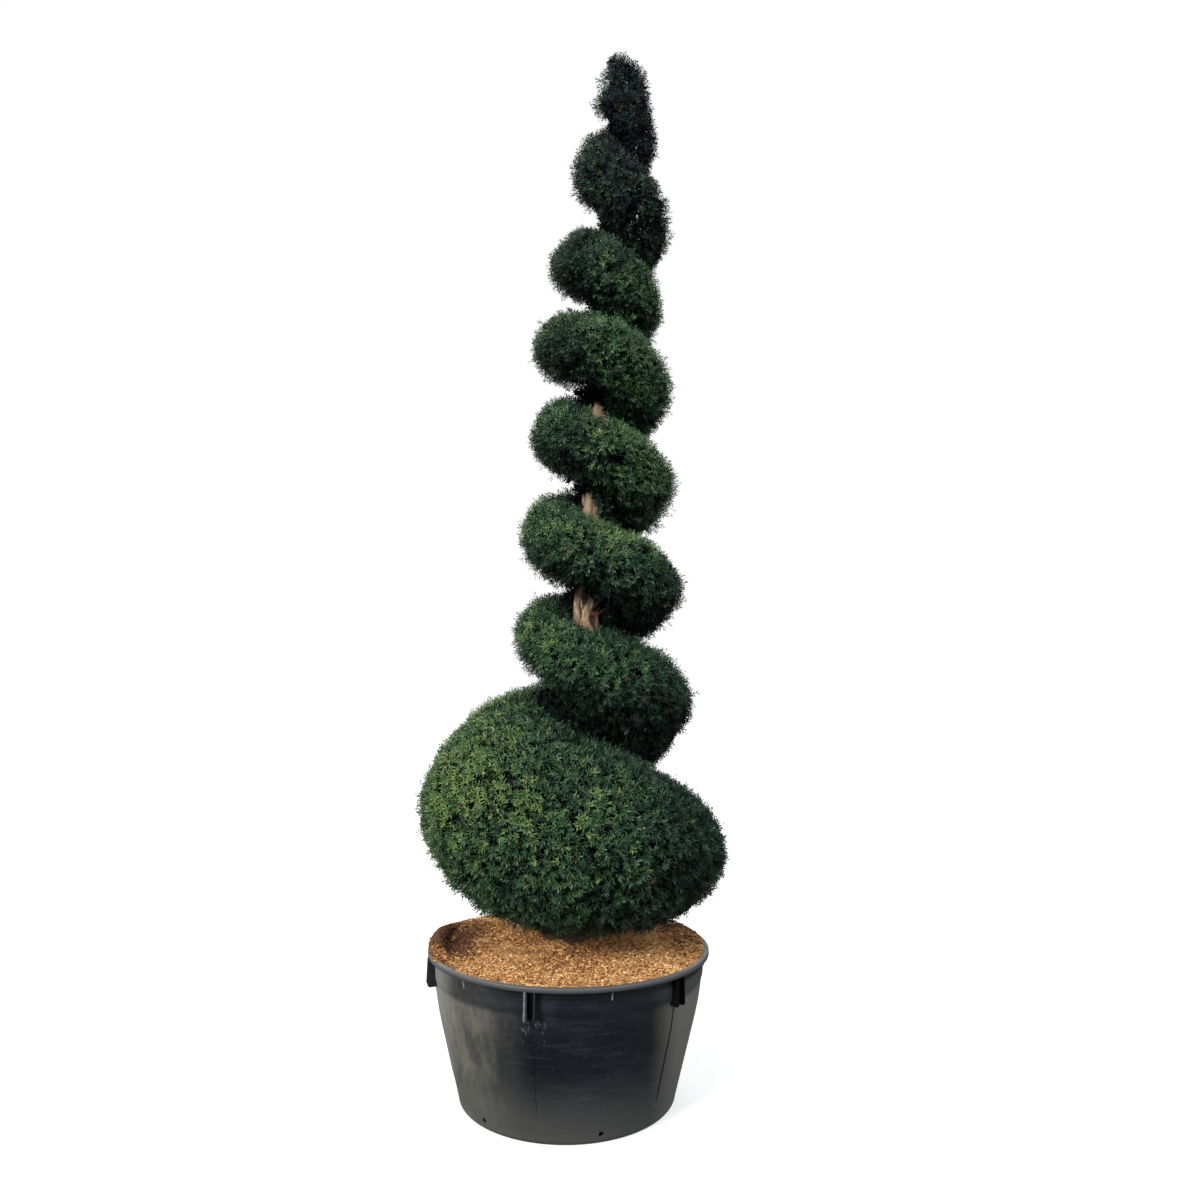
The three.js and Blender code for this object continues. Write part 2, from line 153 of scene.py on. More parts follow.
def evenly(place, gap):
    """Indices of the places that are left when none may lie nearer to an earlier one than its gap."""
    cell = np.floor(place / gap.max()).astype(int).tolist()
    around = list(itertools.product((-1, 0, 1), repeat=3))
    kept, taken = [], {}
    for i, ((x, y, z), least, (a, b, c)) in enumerate(zip(place.tolist(), (gap ** 2).tolist(), cell)):
        near = (other for i_, j_, k_ in around for other in taken.get((a + i_, b + j_, c + k_), ()))
        if all((x - p) ** 2 + (y - q) ** 2 + (z - r) ** 2 >= least for p, q, r in near):
            taken.setdefault((a, b, c), []).append((x, y, z))
            kept.append(i)
    return np.array(kept)


def across(axis):
    """Two unit vectors square to each axis and to each other."""
    helper = np.where(np.abs(axis[..., 2:3]) < 0.9, [0.0, 0.0, 1.0], [1.0, 0.0, 0.0])
    u = unit(np.cross(axis, helper))
    return u, np.cross(axis, u)


def circle(count):
    """Turns spread evenly round a circle, in radians."""
    return 2 * math.pi * np.arange(count) / count


def spoke(turn):
    """Level directions out from the axis, at turns about +Z in radians."""
    return np.stack([np.cos(turn), np.sin(turn), np.zeros_like(turn)], -1)


def curve(start, bend, end, t):
    """Places along a quadratic curve."""
    return (1 - t) ** 2 * start + 2 * t * (1 - t) * bend + t ** 2 * end


def mesh_of(name, points, faces):
    """A mesh from points (n, 3) and faces (m, 3) or (m, 4), or a list of such face arrays."""
    groups = faces if isinstance(faces, list) else [faces]
    mesh = bpy.data.meshes.new(name)
    mesh.vertices.add(len(points))
    mesh.vertices.foreach_set("co", np.ascontiguousarray(points, np.float32).ravel())
    loops = np.concatenate([g.ravel() for g in groups]).astype(np.int32)
    sizes = np.concatenate([np.full(len(g), g.shape[1]) for g in groups])
    starts = np.concatenate([[0], np.cumsum(sizes)[:-1]]).astype(np.int32)
    mesh.loops.add(len(loops))
    mesh.loops.foreach_set("vertex_index", loops)
    mesh.polygons.add(len(sizes))
    mesh.polygons.foreach_set("loop_start", starts)
    mesh.update(calc_edges=True)
    return mesh


def piece(name, mesh, material, slot, *stands_for, rounded=False):
    """A named piece of the plant, which rides on the one body."""
    obj = bpy.data.objects.new(name, mesh)
    bpy.context.scene.collection.objects.link(obj)
    mesh.materials.append(material)
    mesh.polygons.foreach_set("use_smooth", np.full(len(mesh.polygons), rounded))
    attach(obj, "root")
    if stands_for:
        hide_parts(*stands_for)
    return obj


def tube_faces(rings, sides):
    """Quads over rings of points that follow each other, each ring closed."""
    r, i = np.meshgrid(np.arange(rings - 1), np.arange(sides), indexing="ij")
    a, b = r * sides + i, r * sides + (i + 1) % sides
    return np.stack([a, b, b + sides, a + sides], -1).reshape(-1, 4)


def fan(ring, tip, turned=False):
    """Triangles from the edges of a closed ring of point numbers to a tip."""
    after = np.roll(ring, -1)
    edge = [after, ring] if turned else [ring, after]
    return np.stack([*edge, np.full(len(ring), tip)], -1)


# ---------------------------------------------------------------- materials

def srgb(red, green, blue, alpha=1.0):
    """Base colour from 0 to 255 values as the eye reads them."""
    def one(value):
        c = value / 255
        return c / 12.92 if c <= 0.04045 else ((c + 0.055) / 1.055) ** 2.4
    return (one(red), one(green), one(blue), alpha)


class Finish:
    """A Principled material with short ways to add the nodes used here."""

    def __init__(self, name, roughness, specular=0.5):
        self.material = bpy.data.materials.new(name)
        self.material.use_nodes = True
        self.tree = self.material.node_tree
        self.shader = self.tree.nodes["Principled BSDF"]
        self.shader.inputs["Roughness"].default_value = roughness
        self.shader.inputs["Specular IOR Level"].default_value = specular

    def node(self, kind, values=(), **settings):
        made = self.tree.nodes.new(kind)
        for key, value in settings.items():
            setattr(made, key, value)
        for key, value in values:
            if isinstance(value, bpy.types.NodeSocket):
                self.tree.links.new(value, made.inputs[key])
            else:
                made.inputs[key].default_value = value
        return made

    def place(self, scale=(1, 1, 1)):
        """Object coordinates, stretched."""
        where = self.node("ShaderNodeTexCoord").outputs["Object"]
        return self.node("ShaderNodeMapping", [("Vector", where), ("Scale", scale)]).outputs["Vector"]

    def speckle(self, scale, detail=4.0, rough=0.55, stretch=(1, 1, 1)):
        """Noise between 0 and 1."""
        made = self.node("ShaderNodeTexNoise", [
            ("Vector", self.place(stretch)), ("Scale", scale), ("Detail", detail), ("Roughness", rough)])
        return made.outputs["Fac"]

    def ramp(self, value, *stops):
        """Colour ramp over (position, colour) stops."""
        made = self.node("ShaderNodeValToRGB", [("Fac", value)])
        band = made.color_ramp.elements
        while len(band) < len(stops):
            band.new(0.5)
        for element, (position, colour) in zip(band, stops):
            element.position = position
            element.color = colour if len(colour) == 4 else (*colour, 1)
        return made.outputs["Color"]

    def parts(self, vector):
        """The X, Y and Z of a vector."""
        return self.node("ShaderNodeSeparateXYZ", [("Vector", vector)]).outputs

    def mask(self, value, low, high, bottom=0.0, top=1.0):
        """From bottom to top, as the value goes from low to high."""
        ends = [("From Min", low), ("From Max", high), ("To Min", bottom), ("To Max", top)]
        made = self.node("ShaderNodeMapRange", [("Value", value)] + ends, interpolation_type="SMOOTHSTEP")
        return made.outputs["Result"]

    def mix(self, factor, a, b):
        return self.node("ShaderNodeMix", [(0, factor), (6, a), (7, b)], data_type="RGBA").outputs[2]

    def layers(self, colour, *over):
        """A colour with others laid over it, each as (share, colour)."""
        for share, tone in over:
            colour = self.mix(share, colour, tone)
        return colour

    def math(self, operation, a, b):
        return self.node("ShaderNodeMath", [(0, a), (1, b)], operation=operation).outputs[0]

    def times(self, first, *more):
        for factor in more:
            first = self.math("MULTIPLY", first, factor)
        return first

    def bump(self, height, strength, distance):
        made = self.node("ShaderNodeBump", [
            ("Height", height), ("Strength", strength), ("Distance", distance)])
        self.tree.links.new(made.outputs["Normal"], self.shader.inputs["Normal"])

    def link(self, socket, name):
        self.tree.links.new(socket, self.shader.inputs[name])


def plastic():
    """Weathered charcoal plastic: dusty low down and on what faces up, scuffed round the wall, with dust
    and painted light on its sides, a painted highlight on its left edge, and painted light and shade on and
    under its lip.
    """
    f = Finish("charcoal_plastic", 0.45, 0.30)
    x, _, z = f.parts(f.place())
    up = f.parts(f.node("ShaderNodeNewGeometry").outputs["Normal"])["Z"]
    cloud = f.speckle(5.0, 6.0, 0.6, (1, 1, 1.6))
    scuffs = f.speckle(20.0, 9.0, 0.72, (0.35, 0.35, 4.0))
    specks = f.speckle(160.0, 3.0, 0.7, (1, 1, 1.4))
    mottle = f.mask(f.speckle(14.0, 8.0, 0.72, (1, 1, 0.5)), 0.34, 0.66, 0.35, 0.95)
    scrapes = f.mask(f.speckle(110.0, 6.0, 0.7, (1, 1, 0.4)), 0.54, 0.66, top=0.32)
    # 1 below the band under the lip and 0.35 on it, so the band keeps less of the dust and scuffs and stays
    # darker
    below_band = f.mask(z, UNDER_LIP - 0.105, UNDER_LIP - 0.075, 1.0, 0.35)
    # dust on both sides, laid on also where it stands for the light falling on the left side and the right
    # edge
    sides = f.math("MAXIMUM", f.times(f.mask(x, -0.10, -0.47), mottle), f.mask(x, 0.30, 0.44, top=0.72))
    # painted shadow under the lip, strongest at the front and right
    under_lip = f.times(
        f.mask(z, UNDER_LIP - 0.036, UNDER_LIP - 0.024), f.mask(z, UNDER_LIP, UNDER_LIP - 0.002),
        f.mask(x, -0.34, -0.08, top=0.95))
    # painted light and shade on the lip: paler towards its top, darker at its lower edge
    lip_light_and_shade = f.ramp(z, (UNDER_LIP + 0.004, srgb(52, 55, 61)), (UNDER_LIP + 0.014, srgb(90, 90, 90)))
    t = bearing(LUG["first"] + 360 / LUG["count"])
    lug_foot = (0.53 * math.cos(t), 0.53 * math.sin(t), UNDER_LIP - LUG["height"] - 0.03)
    away = f.node("ShaderNodeVectorMath", [(0, f.place()), (1, lug_foot)], operation="DISTANCE")
    near = f.mask(away.outputs["Value"], 0.090, 0.010)
    plain = f.ramp(cloud, (0.3, srgb(5, 8, 15)), (0.55, srgb(12, 16, 24)), (0.75, srgb(30, 33, 40)))
    colour = f.layers(
        plain,
        (f.times(sides, below_band), srgb(118, 116, 106)),                   # dust and painted light on both sides
        (f.mask(z, 0.30, 0.0, top=0.60), srgb(82, 82, 78)),                 # dust low down
        (f.mask(x, -0.40, -0.52, top=0.60), srgb(160, 160, 154)),           # painted highlight on the lit left edge
        (f.times(f.mask(scuffs, 0.52, 0.75, top=0.15), below_band), srgb(90, 92, 95)),
        (f.times(f.mask(specks, 0.62, 0.74, top=0.30), below_band), srgb(126, 123, 114)),
        (f.mask(up, 0.6, 0.95, top=0.75), srgb(100, 99, 96)),               # dust on what faces up
        # the lip, with painted light and shade on it
        (f.mask(z, UNDER_LIP - 0.001, UNDER_LIP + 0.003, top=0.8), lip_light_and_shade),
        # painted shadow under the lip
        (under_lip, srgb(3, 3, 5)),
        (f.times(near, scrapes), srgb(140, 142, 144)),                      # scrapes under a lug
    )
    f.link(colour, "Base Color")
    f.link(f.mask(scuffs, 0.3, 0.75, 0.40, 0.62), "Roughness")
    f.bump(f.math("ADD", f.times(scuffs, 0.7), f.times(specks, 0.3)), 0.25, 0.0015)
    return f.material


def bare_plastic(name, dark, pale, roughness, specular):
    """The same plastic with little or no dust on it; its paler and near-black copies carry painted light
    and painted shade.
    """
    f = Finish(name, roughness, specular)
    f.link(f.ramp(f.speckle(60.0), (0.3, dark), (0.75, pale)), "Base Color")
    f.bump(f.speckle(120.0), 0.2, 0.001)
    return f.material


def bark_finish():
    """Flaky reddish bark with paler tan plates and dark cracks, darker towards the foot, with painted shade
    inside the turns.
    """
    f = Finish("flaky_bark", 0.85, 0.25)
    strips = f.speckle(30.0, 6.0, 0.65, (1, 1, 0.30))
    plates = f.speckle(15.0, 5.0, 0.6, (1, 1, 0.55))
    fine = f.speckle(210.0, 4.0, 0.7, (1, 1, 0.3))
    z = f.parts(f.place())["Z"]
    colour = f.layers(
        f.ramp(plates, (0.40, srgb(160, 96, 70)), (0.48, srgb(170, 134, 104)), (0.58, srgb(190, 166, 138))),
        (f.mask(strips, 0.50, 0.38), srgb(58, 42, 36)),
        (f.mask(fine, 0.55, 0.7, top=0.5), srgb(206, 184, 158)),
        (f.mask(z, 0.80, 0.66, top=0.92), srgb(66, 44, 32)),                # darker towards the foot
        (f.mask(z, 1.80, 1.70, top=0.60), srgb(70, 52, 42)),                # painted shade inside the fat turn
        (f.mask(z, 2.10, 2.40, top=0.50), srgb(104, 92, 80)),
        # painted shade inside the upper turns
        (f.mask(z, 2.95, 3.10, top=0.75), srgb(48, 40, 34)),
    )
    f.link(colour, "Base Color")
    f.bump(f.math("ADD", strips, f.times(fine, 0.5)), 0.6, 0.004)
    return f.material


def wood_finish(name, dark, pale):
    """Thin bark of boughs, twigs and shoots."""
    f = Finish(name, 0.8, 0.3)
    f.link(f.ramp(f.speckle(70.0, 4.0, 0.6, (1, 1, 0.5)), (0.35, dark), (0.65, pale)), "Base Color")
    f.bump(f.speckle(240.0), 0.4, 0.001)
    return f.material


def needle_finish(name, colour, roughness, specular):
    """Waxy needles of one plain colour, with a faint grain in the gloss."""
    f = Finish(name, roughness, specular)
    f.shader.inputs["Base Color"].default_value = (*colour, 1)
    f.bump(f.speckle(300.0, 2.0), 0.15, 0.0005)
    return f.material


def chip_finish(name, colour):
    f = Finish(name, 0.85, 0.25)
    f.shader.inputs["Base Color"].default_value = colour
    f.bump(f.speckle(260.0, 4.0, 0.6, (1, 1, 1)), 0.5, 0.001)
    return f.material


def litter_finish():
    """Fine bark litter between the chips."""
    f = Finish("bark_litter", 0.95, 0.15)
    fine = f.speckle(150.0, 6.0, 0.75)
    patch = f.speckle(9.0, 3.0, 0.5)
    pale, dark, darker_left = (f.ramp(fine, *zip((0.36, 0.5, 0.64), tones)) for tones in (
        (srgb(150, 110, 68), srgb(204, 156, 102), srgb(236, 194, 138)),
        (srgb(112, 78, 48), srgb(156, 112, 70), srgb(186, 138, 92)),
        (srgb(62, 42, 30), srgb(102, 72, 49), srgb(144, 105, 72))))
    aside = f.parts(f.place())["X"]
    # darker at the far left, on and by the heap there: partly the litter's own tone, partly painted shade
    # under the plant
    colour = f.layers(dark, (f.mask(patch, 0.42, 0.6), pale), (f.mask(aside, -0.36, -0.47), darker_left))
    f.link(colour, "Base Color")
    f.bump(fine, 0.8, 0.006)
    return f.material


# ---------------------------------------------------------------- tub

def wall_radius(height):
    """Outer radius of the tub's wall, which bends upright above its shoulder."""
    excess = TUB["base_radius"] + TUB["slope"] * UNDER_LIP - TUB["top_radius"]
    bent = np.maximum(height - TUB["shoulder"], 0) / (UNDER_LIP - TUB["shoulder"])
    return TUB["base_radius"] + TUB["slope"] * height - excess * bent ** 2


def wall_line(heights, proud=0.0):
    """Points up the wall, as [radius, height] pairs."""
    return [[wall_radius(z) + proud, z] for z in heights]


def arc(centre, radius, start, end, steps):
    """Points round a centre, from one angle to another in degrees, as [radius, height] pairs."""
    turns = np.radians(np.linspace(start, end, steps + 1))
    return [[centre[0] + radius * math.cos(t), centre[1] + radius * math.sin(t)] for t in turns]


def tub_profile():
    """The tub's outline from the middle of its underside, up the outside, over the lip and back down."""
    corner, wall, lip = TUB["corner"], TUB["wall"], TUB["lip_radius"]
    band_foot = UNDER_LIP - TUB["band_height"] - 0.012
    proud, edge = TUB["band_proud"], 0.0035
    outside = [[0, 0]] + arc((wall_radius(corner) - corner, corner), corner, -90, 0, 8)
    outside += wall_line(np.linspace(0.05, band_foot - 0.004, 34))
    for t in np.linspace(0, 1, 9):
        outside += wall_line([band_foot + 0.028 * t], proud * float(smooth(0, 1, t)))
    outside += wall_line(np.linspace(band_foot + 0.034, UNDER_LIP - 0.004, 6), proud)
    root = wall_radius(UNDER_LIP) + proud
    outside += arc((root + 0.003, UNDER_LIP - 0.003), 0.003, 180, 90, 3)
    outside += arc((lip - 0.002, UNDER_LIP + 0.002), 0.002, -90, 0, 3)
    outside += arc((lip - edge, TUB["height"] - edge), edge, 0, 90, 5)
    inner = lip - TUB["lip_width"]
    outside += arc((inner + 0.002, TUB["height"] - 0.002), 0.002, 90, 180, 3)
    inside = [[inner, TUB["height"] - wall]]
    inside += wall_line(np.linspace(UNDER_LIP - wall, corner + 0.01, 12), -wall)
    inside += arc((wall_radius(corner) - corner, TUB["floor"] + 0.012), 0.013, 0, -90, 4)
    return np.array(outside + inside + [[0, TUB["floor"]]])


def revolve(profile, segments):
    """Points and faces of a profile turned about +Z. Its first and last points lie on the axis."""
    body = profile[1:-1]
    ring = spoke(circle(segments)) * body[:, None, :1] + body[:, None, 1:] * [0, 0, 1]
    points = np.concatenate([ring.reshape(-1, 3), [[0, 0, profile[0, 1]], [0, 0, profile[-1, 1]]]])
    foot = np.arange(segments)
    fans = np.concatenate([
        fan(foot, len(points) - 2, turned=True), fan(foot + (len(body) - 1) * segments, len(points) - 1)])
    return points, [tube_faces(len(body), segments), fans]


def bearing(degrees):
    """Turn about +Z from the +X side, for a bearing from the front, positive towards the right."""
    return math.radians(degrees - 90)


def plate(outline, degrees, thickness, aside=0.0):
    """An upright plate on the wall: outline in radius and height, turned to a bearing."""
    outline = np.array(outline, float)
    t = bearing(degrees)
    out, over = spoke(np.array(t)), spoke(np.array(t + math.pi / 2))
    flat = outline[:, :1] * out + outline[:, 1:] * [0, 0, 1]
    return np.concatenate([flat + over * (aside + s * thickness / 2) for s in (-1, 1)]), len(outline)


def plates_mesh(name, plates):
    """One mesh of plates, each with its edges slightly rounded."""
    mesh = bpy.data.meshes.new(name)
    points, faces, start = [], [], 0
    for corners, count in plates:
        points += [tuple(p) for p in corners]
        faces.append([start + i for i in range(count)])
        faces.append([start + count + i for i in reversed(range(count))])
        for i in range(count):
            j = (i + 1) % count
            faces.append([start + j, start + i, start + count + i, start + count + j])
        start += 2 * count
    mesh.from_pydata(points, [], faces)
    mesh.update()
    return mesh


def rounded_edges(obj, width, segments=2):
    """Applies a small bevel, so that no edge is knife sharp."""
    bevel = obj.modifiers.new("edges", "BEVEL")
    bevel.width = width
    bevel.segments = segments
    bevel.limit_method = "ANGLE"
    apply_modifiers(obj)


def apply_modifiers(obj):
    depsgraph = bpy.context.evaluated_depsgraph_get()
    depsgraph.update()
    made = bpy.data.meshes.new_from_object(obj.evaluated_get(depsgraph), depsgraph=depsgraph)
    obj.modifiers.clear()
    obj.data = made


def drain_cutters():
    """Round bars through the wall where the drain holes are."""
    sides = 24
    points, quads = [], []
    around = circle(sides)[:, None]
    for i in range(LUG["count"]):
        t = np.array(bearing(DRAIN["first"] + i * 360 / LUG["count"]))
        rim = (np.cos(around) * spoke(t + math.pi / 2) + np.sin(around) * [0, 0, 1]) * DRAIN["radius"]
        for reach in (-0.03, 0.03):
            centre = spoke(t) * (wall_radius(DRAIN["height"]) + reach) + [0, 0, DRAIN["height"]]
            points += (centre + rim).tolist()
        ends = 2 * sides * i + np.arange(2 * sides).reshape(2, sides)
        quads += [ends[0, ::-1].tolist(), ends[1].tolist()]
        quads += (2 * sides * i + tube_faces(2, sides)).tolist()
    mesh = bpy.data.meshes.new("drain_cutters")
    mesh.from_pydata(points, [], quads)
    obj = bpy.data.objects.new("drain_cutters", mesh)
    bpy.context.scene.collection.objects.link(obj)
    return obj


def fittings(groups):
    """Adds the plates of the lugs, seams and gussets round the wall to their groups, and in each lug a
    near-black plate of painted shade.
    """
    def root(heights):
        return wall_line(heights, -TUB["wall"] / 2)

    foot = UNDER_LIP - LUG["height"]
    low = UNDER_LIP - GUSSET["height"]
    aside = (LUG["width"] - LUG["plate"]) / 2
    fin = root([foot]) + [
        [LUG["foot"] - 0.008, foot - 0.001], [LUG["foot"], foot + 0.006],
        [LUG["reach"], UNDER_LIP + 0.002], [LUG["reach"] - 0.02, UNDER_LIP + 0.002],
        [wall_radius(UNDER_LIP) - TUB["wall"] / 2, UNDER_LIP - 0.01]]
    heights = np.linspace(SEAM["foot"], foot, 9)
    seam = [[wall_radius(z) + SEAM["proud"] * float(smooth(0, 0.05, z - SEAM["foot"])), z] for z in heights]
    seam += root(heights[::-1])
    heights = np.linspace(foot + 0.004, UNDER_LIP, 4)
    lug_shade = wall_line(heights, TUB["band_proud"] + 0.0015) + root(heights[::-1])
    gusset = root([low]) + wall_line([low], 0.009) + wall_line([UNDER_LIP], 0.014) + root([UNDER_LIP])
    for i in range(LUG["count"]):
        turn = LUG["first"] + i * 360 / LUG["count"]
        # painted shade: the lug at the right, turned from the light, gets near-black fins and seam
        shaded = "_dark" if 0 < turn < 60 else ""
        for side in (-1, 1):
            # painted light: the left fin of the front lug, which faces the light, is pale
            lit_fin = side < 0 and abs(turn) < 30
            kind = "tub_fins_pale" if lit_fin else "tub_fins" + shaded
            groups[kind].append(plate(fin, turn, LUG["plate"], side * aside))
        groups["tub_seams" + shaded].append(plate(seam, turn, SEAM["width"]))
        # painted shade: a near-black plate inside each lug
        groups["tub_lug_shade"].append(plate(lug_shade, turn, 2 * aside))
        turn = GUSSET["first"] + i * 360 / LUG["count"]
        # painted light: the gusset at the front left, which faces the light, is paler than the others
        kind = "tub_gussets_pale" if turn < 0 else "tub_gussets"
        groups[kind].append(plate(gusset, turn, GUSSET["plate"]))


def build_tub():
    """The hollow tub with its drain holes, and the lugs, seams and gussets round its wall."""
    dark = plastic()
    points, faces = revolve(tub_profile(), TUB["segments"])
    tub = piece("tub_shell", mesh_of("tub_shell", points, faces), dark, "tub", "tub", rounded=True)
    cutter = drain_cutters()
    cut = tub.modifiers.new("drains", "BOOLEAN")
    cut.operation = "DIFFERENCE"
    cut.solver = "EXACT"
    cut.object = cutter
    apply_modifiers(tub)
    bpy.data.objects.remove(cutter)
    tub.data.set_sharp_from_angle(angle=math.radians(32))
    # plastic without dust; a paler copy for fins and gussets that stands for their wear and the light on
    # them; a palest copy as painted light; a near-black copy as painted shade
    bare, worn_and_lit, pale, black = (
        bare_plastic(name, srgb(*low), srgb(*high), *gloss) for name, low, high, gloss in (
            ("bare_plastic", (20, 22, 28), (34, 36, 42), (0.5, 0.3)),
            ("worn_and_lit_plastic", (84, 87, 92), (118, 121, 124), (0.6, 0.3)),
            ("painted_lit_plastic", (116, 120, 124), (160, 163, 165), (0.6, 0.3)),
            ("shaded_plastic", (2, 2, 3), (6, 6, 8), (0.8, 0.1))))
    finishes = {
        "tub_fins": bare, "tub_fins_pale": worn_and_lit, "tub_fins_dark": black, "tub_seams": dark,
        "tub_seams_dark": black, "tub_lug_shade": black, "tub_gussets": worn_and_lit, "tub_gussets_pale": pale}
    groups = {name: [] for name in finishes}
    fittings(groups)
    for name, plates in groups.items():
        rounded_edges(piece(name, plates_mesh(name, plates), finishes[name], "tub"), 0.0011)


# ---------------------------------------------------------------- soil

def cad_of(*names):
    """Points of some CAD nodes, their triangles, the number of each one's node and a ray-cast tree."""
    points, triangles, owner, start = [], [], [], 0
    for k, name in enumerate(names):
        mesh = NODES[name].data
        mesh.calc_loop_triangles()
        co = np.empty(len(mesh.vertices) * 3, np.float32)
        mesh.vertices.foreach_get("co", co)
        tri = np.empty(len(mesh.loop_triangles) * 3, np.int32)
        mesh.loop_triangles.foreach_get("vertices", tri)
        points.append(co.reshape(-1, 3).astype(float))
        triangles.append(tri.reshape(-1, 3) + start)
        owner.append(np.full(len(triangles[-1]), k))
        start += len(points[-1])
    points, triangles, owner = map(np.concatenate, (points, triangles, owner))
    return points, triangles, owner, BVHTree.FromPolygons(points.tolist(), triangles.tolist())


SOIL_TREE = cad_of("soil")[3]
BORE = TUB["lip_radius"] - TUB["lip_width"]


def soil_height(x, y):
    """Height of the litter: the CAD surface, heaped over the lip at the back of both sides."""
    reach = np.hypot(x, y)
    inside = np.minimum(1, (BORE - 0.012) / np.maximum(reach, 1e-6))
    cad = np.empty(x.shape)
    for i, (px, py) in enumerate(zip((x * inside).ravel(), (y * inside).ravel())):
        cad.flat[i] = SOIL_TREE.ray_cast(Vector((px, py, 1.0)), Vector((0, 0, -1)))[0].z
    turn = np.degrees(np.arctan2(y, x))
    left, right = (np.exp(-((turn - middle) / wide) ** 2) for middle, wide in ((158, 24), (28, 26)))
    mound = 0.034 * np.exp(-(reach / 0.15) ** 4)
    return cad + mound + smooth(0.30, 0.53, reach) * (0.013 * left + 0.016 * right)


def build_soil(rng):
    """The litter that fills the tub, closed underneath, with heaps and chips on it."""
    rings, around = 72, 300
    flat = spoke(circle(around)) * np.linspace(0.004, BORE - 0.0008, rings)[:, None, None]
    top = flat.copy()
    top[..., 2] = soil_height(flat[..., 0], flat[..., 1])
    swells = 0.0045 * noise(flat, 0.022, 3) + 0.003 * noise(flat, 0.009, 4)
    top[..., 2] += swells + 0.004 * noise(flat, 0.11, 5)
    skirt = top[-1] * [0.955, 0.955, 0] + [0, 0, UNDER_LIP - 0.004]
    ends = [[0, 0, top[0, :, 2].mean()], [0, 0, UNDER_LIP - 0.02]]
    points = np.concatenate([top.reshape(-1, 3), skirt, ends])
    rim = np.arange(around)
    fans = np.concatenate([
        fan(rim, len(points) - 2), fan(rim + rings * around, len(points) - 1, turned=True)])
    mesh = mesh_of("bark_litter", points, [tube_faces(rings + 1, around)[:, ::-1], fans])
    material = litter_finish()
    piece("bark_litter", mesh, material, "soil", "soil", rounded=True)
    build_heaps(material)
    scatter_chips(rng)


# Litter heaped on the lip: its middle and spread in degrees about +Z, its height and its outer edge.
HEAPS = [
    {"turn": 177, "spread": 33, "height": 0.036, "edge": 0.571},
    {"turn": 26, "spread": 22, "height": 0.013, "edge": 0.563},
]


def along_heap(turn, heap):
    """From 0 at both ends of a heap to 1 in its middle."""
    return np.clip(1 - ((turn - heap["turn"]) / heap["spread"]) ** 2, 0, 1)


def heap_top(turn, across_it, heap):
    """Height of a heap over the lip, at a turn in degrees and from -1 inside to 1 at its outer edge."""
    swell = along_heap(turn, heap) * np.sqrt(np.clip(1 - across_it ** 2, 0, 1))
    return TUB["height"] - 0.004 + (heap["height"] + 0.004) * swell


def heap_at(turn, across_it, heap):
    """Places on a heap, at turns in degrees and from -1 inside to 1 at its outer edge."""
    reach = lerp(BORE - 0.05, heap["edge"], (across_it + 1) / 2)
    place = spoke(np.radians(turn)) * reach[..., None]
    place[..., 2] = heap_top(turn, across_it, heap)
    return place


def build_heaps(material):
    """The litter on the lip, as closed cushions that thin out to their ends."""
    for number, heap in enumerate(HEAPS, 1):
        turns = np.linspace(heap["turn"] - heap["spread"], heap["turn"] + heap["spread"], 90)
        tt, ww = np.meshgrid(turns, np.linspace(-1, 1, 22), indexing="ij")
        crest = heap_at(tt, ww, heap)
        crest[..., 2] += (0.003 + 0.007 * along_heap(tt, heap)) * noise(crest, 0.034, 41)
        crest[..., 2] += 0.003 * noise(crest, 0.011, 42)
        below = crest * [1, 1, 0] + [0, 0, TUB["height"] - 0.0075]
        crest[..., 2] = np.maximum(crest[..., 2], below[..., 2] + 0.001)
        grid = np.arange(tt.size).reshape(tt.shape)
        top = np.stack([grid[:-1, :-1], grid[:-1, 1:], grid[1:, 1:], grid[1:, :-1]], -1).reshape(-1, 4)
        rim = np.concatenate([grid[0, :], grid[1:, -1], grid[-1, -2::-1], grid[-2:0:-1, 0]])
        after = np.roll(rim, -1)
        walls = np.stack([rim, after, after + tt.size, rim + tt.size], -1)
        points = np.concatenate([crest.reshape(-1, 3), below.reshape(-1, 3)])
        faces = np.concatenate([top, top[:, ::-1] + tt.size, walls])[:, ::-1]
        name = f"litter_heap_{number}"
        piece(name, mesh_of(name, points, faces), material, "soil", "soil", rounded=True)


# Tones of the chips, each with its share of the scale from light to dark that a chip's draw falls on.
CHIPS = {
    "pale": (srgb(240, 200, 146), 0.20), "tan": (srgb(222, 170, 110), 0.42),
    "ochre": (srgb(200, 144, 86), 0.26), "brown": (srgb(142, 94, 58), 0.30),
    "umber": (srgb(86, 56, 40), np.inf),
}
LITTER = {
    "chips": 21000, "spilt": 2200,                              # all over, and more on each heap
    "long": 0.0056, "narrow": 0.0022, "wide": 0.0042, "thick": 0.0012,     # half of a chip's sizes
}


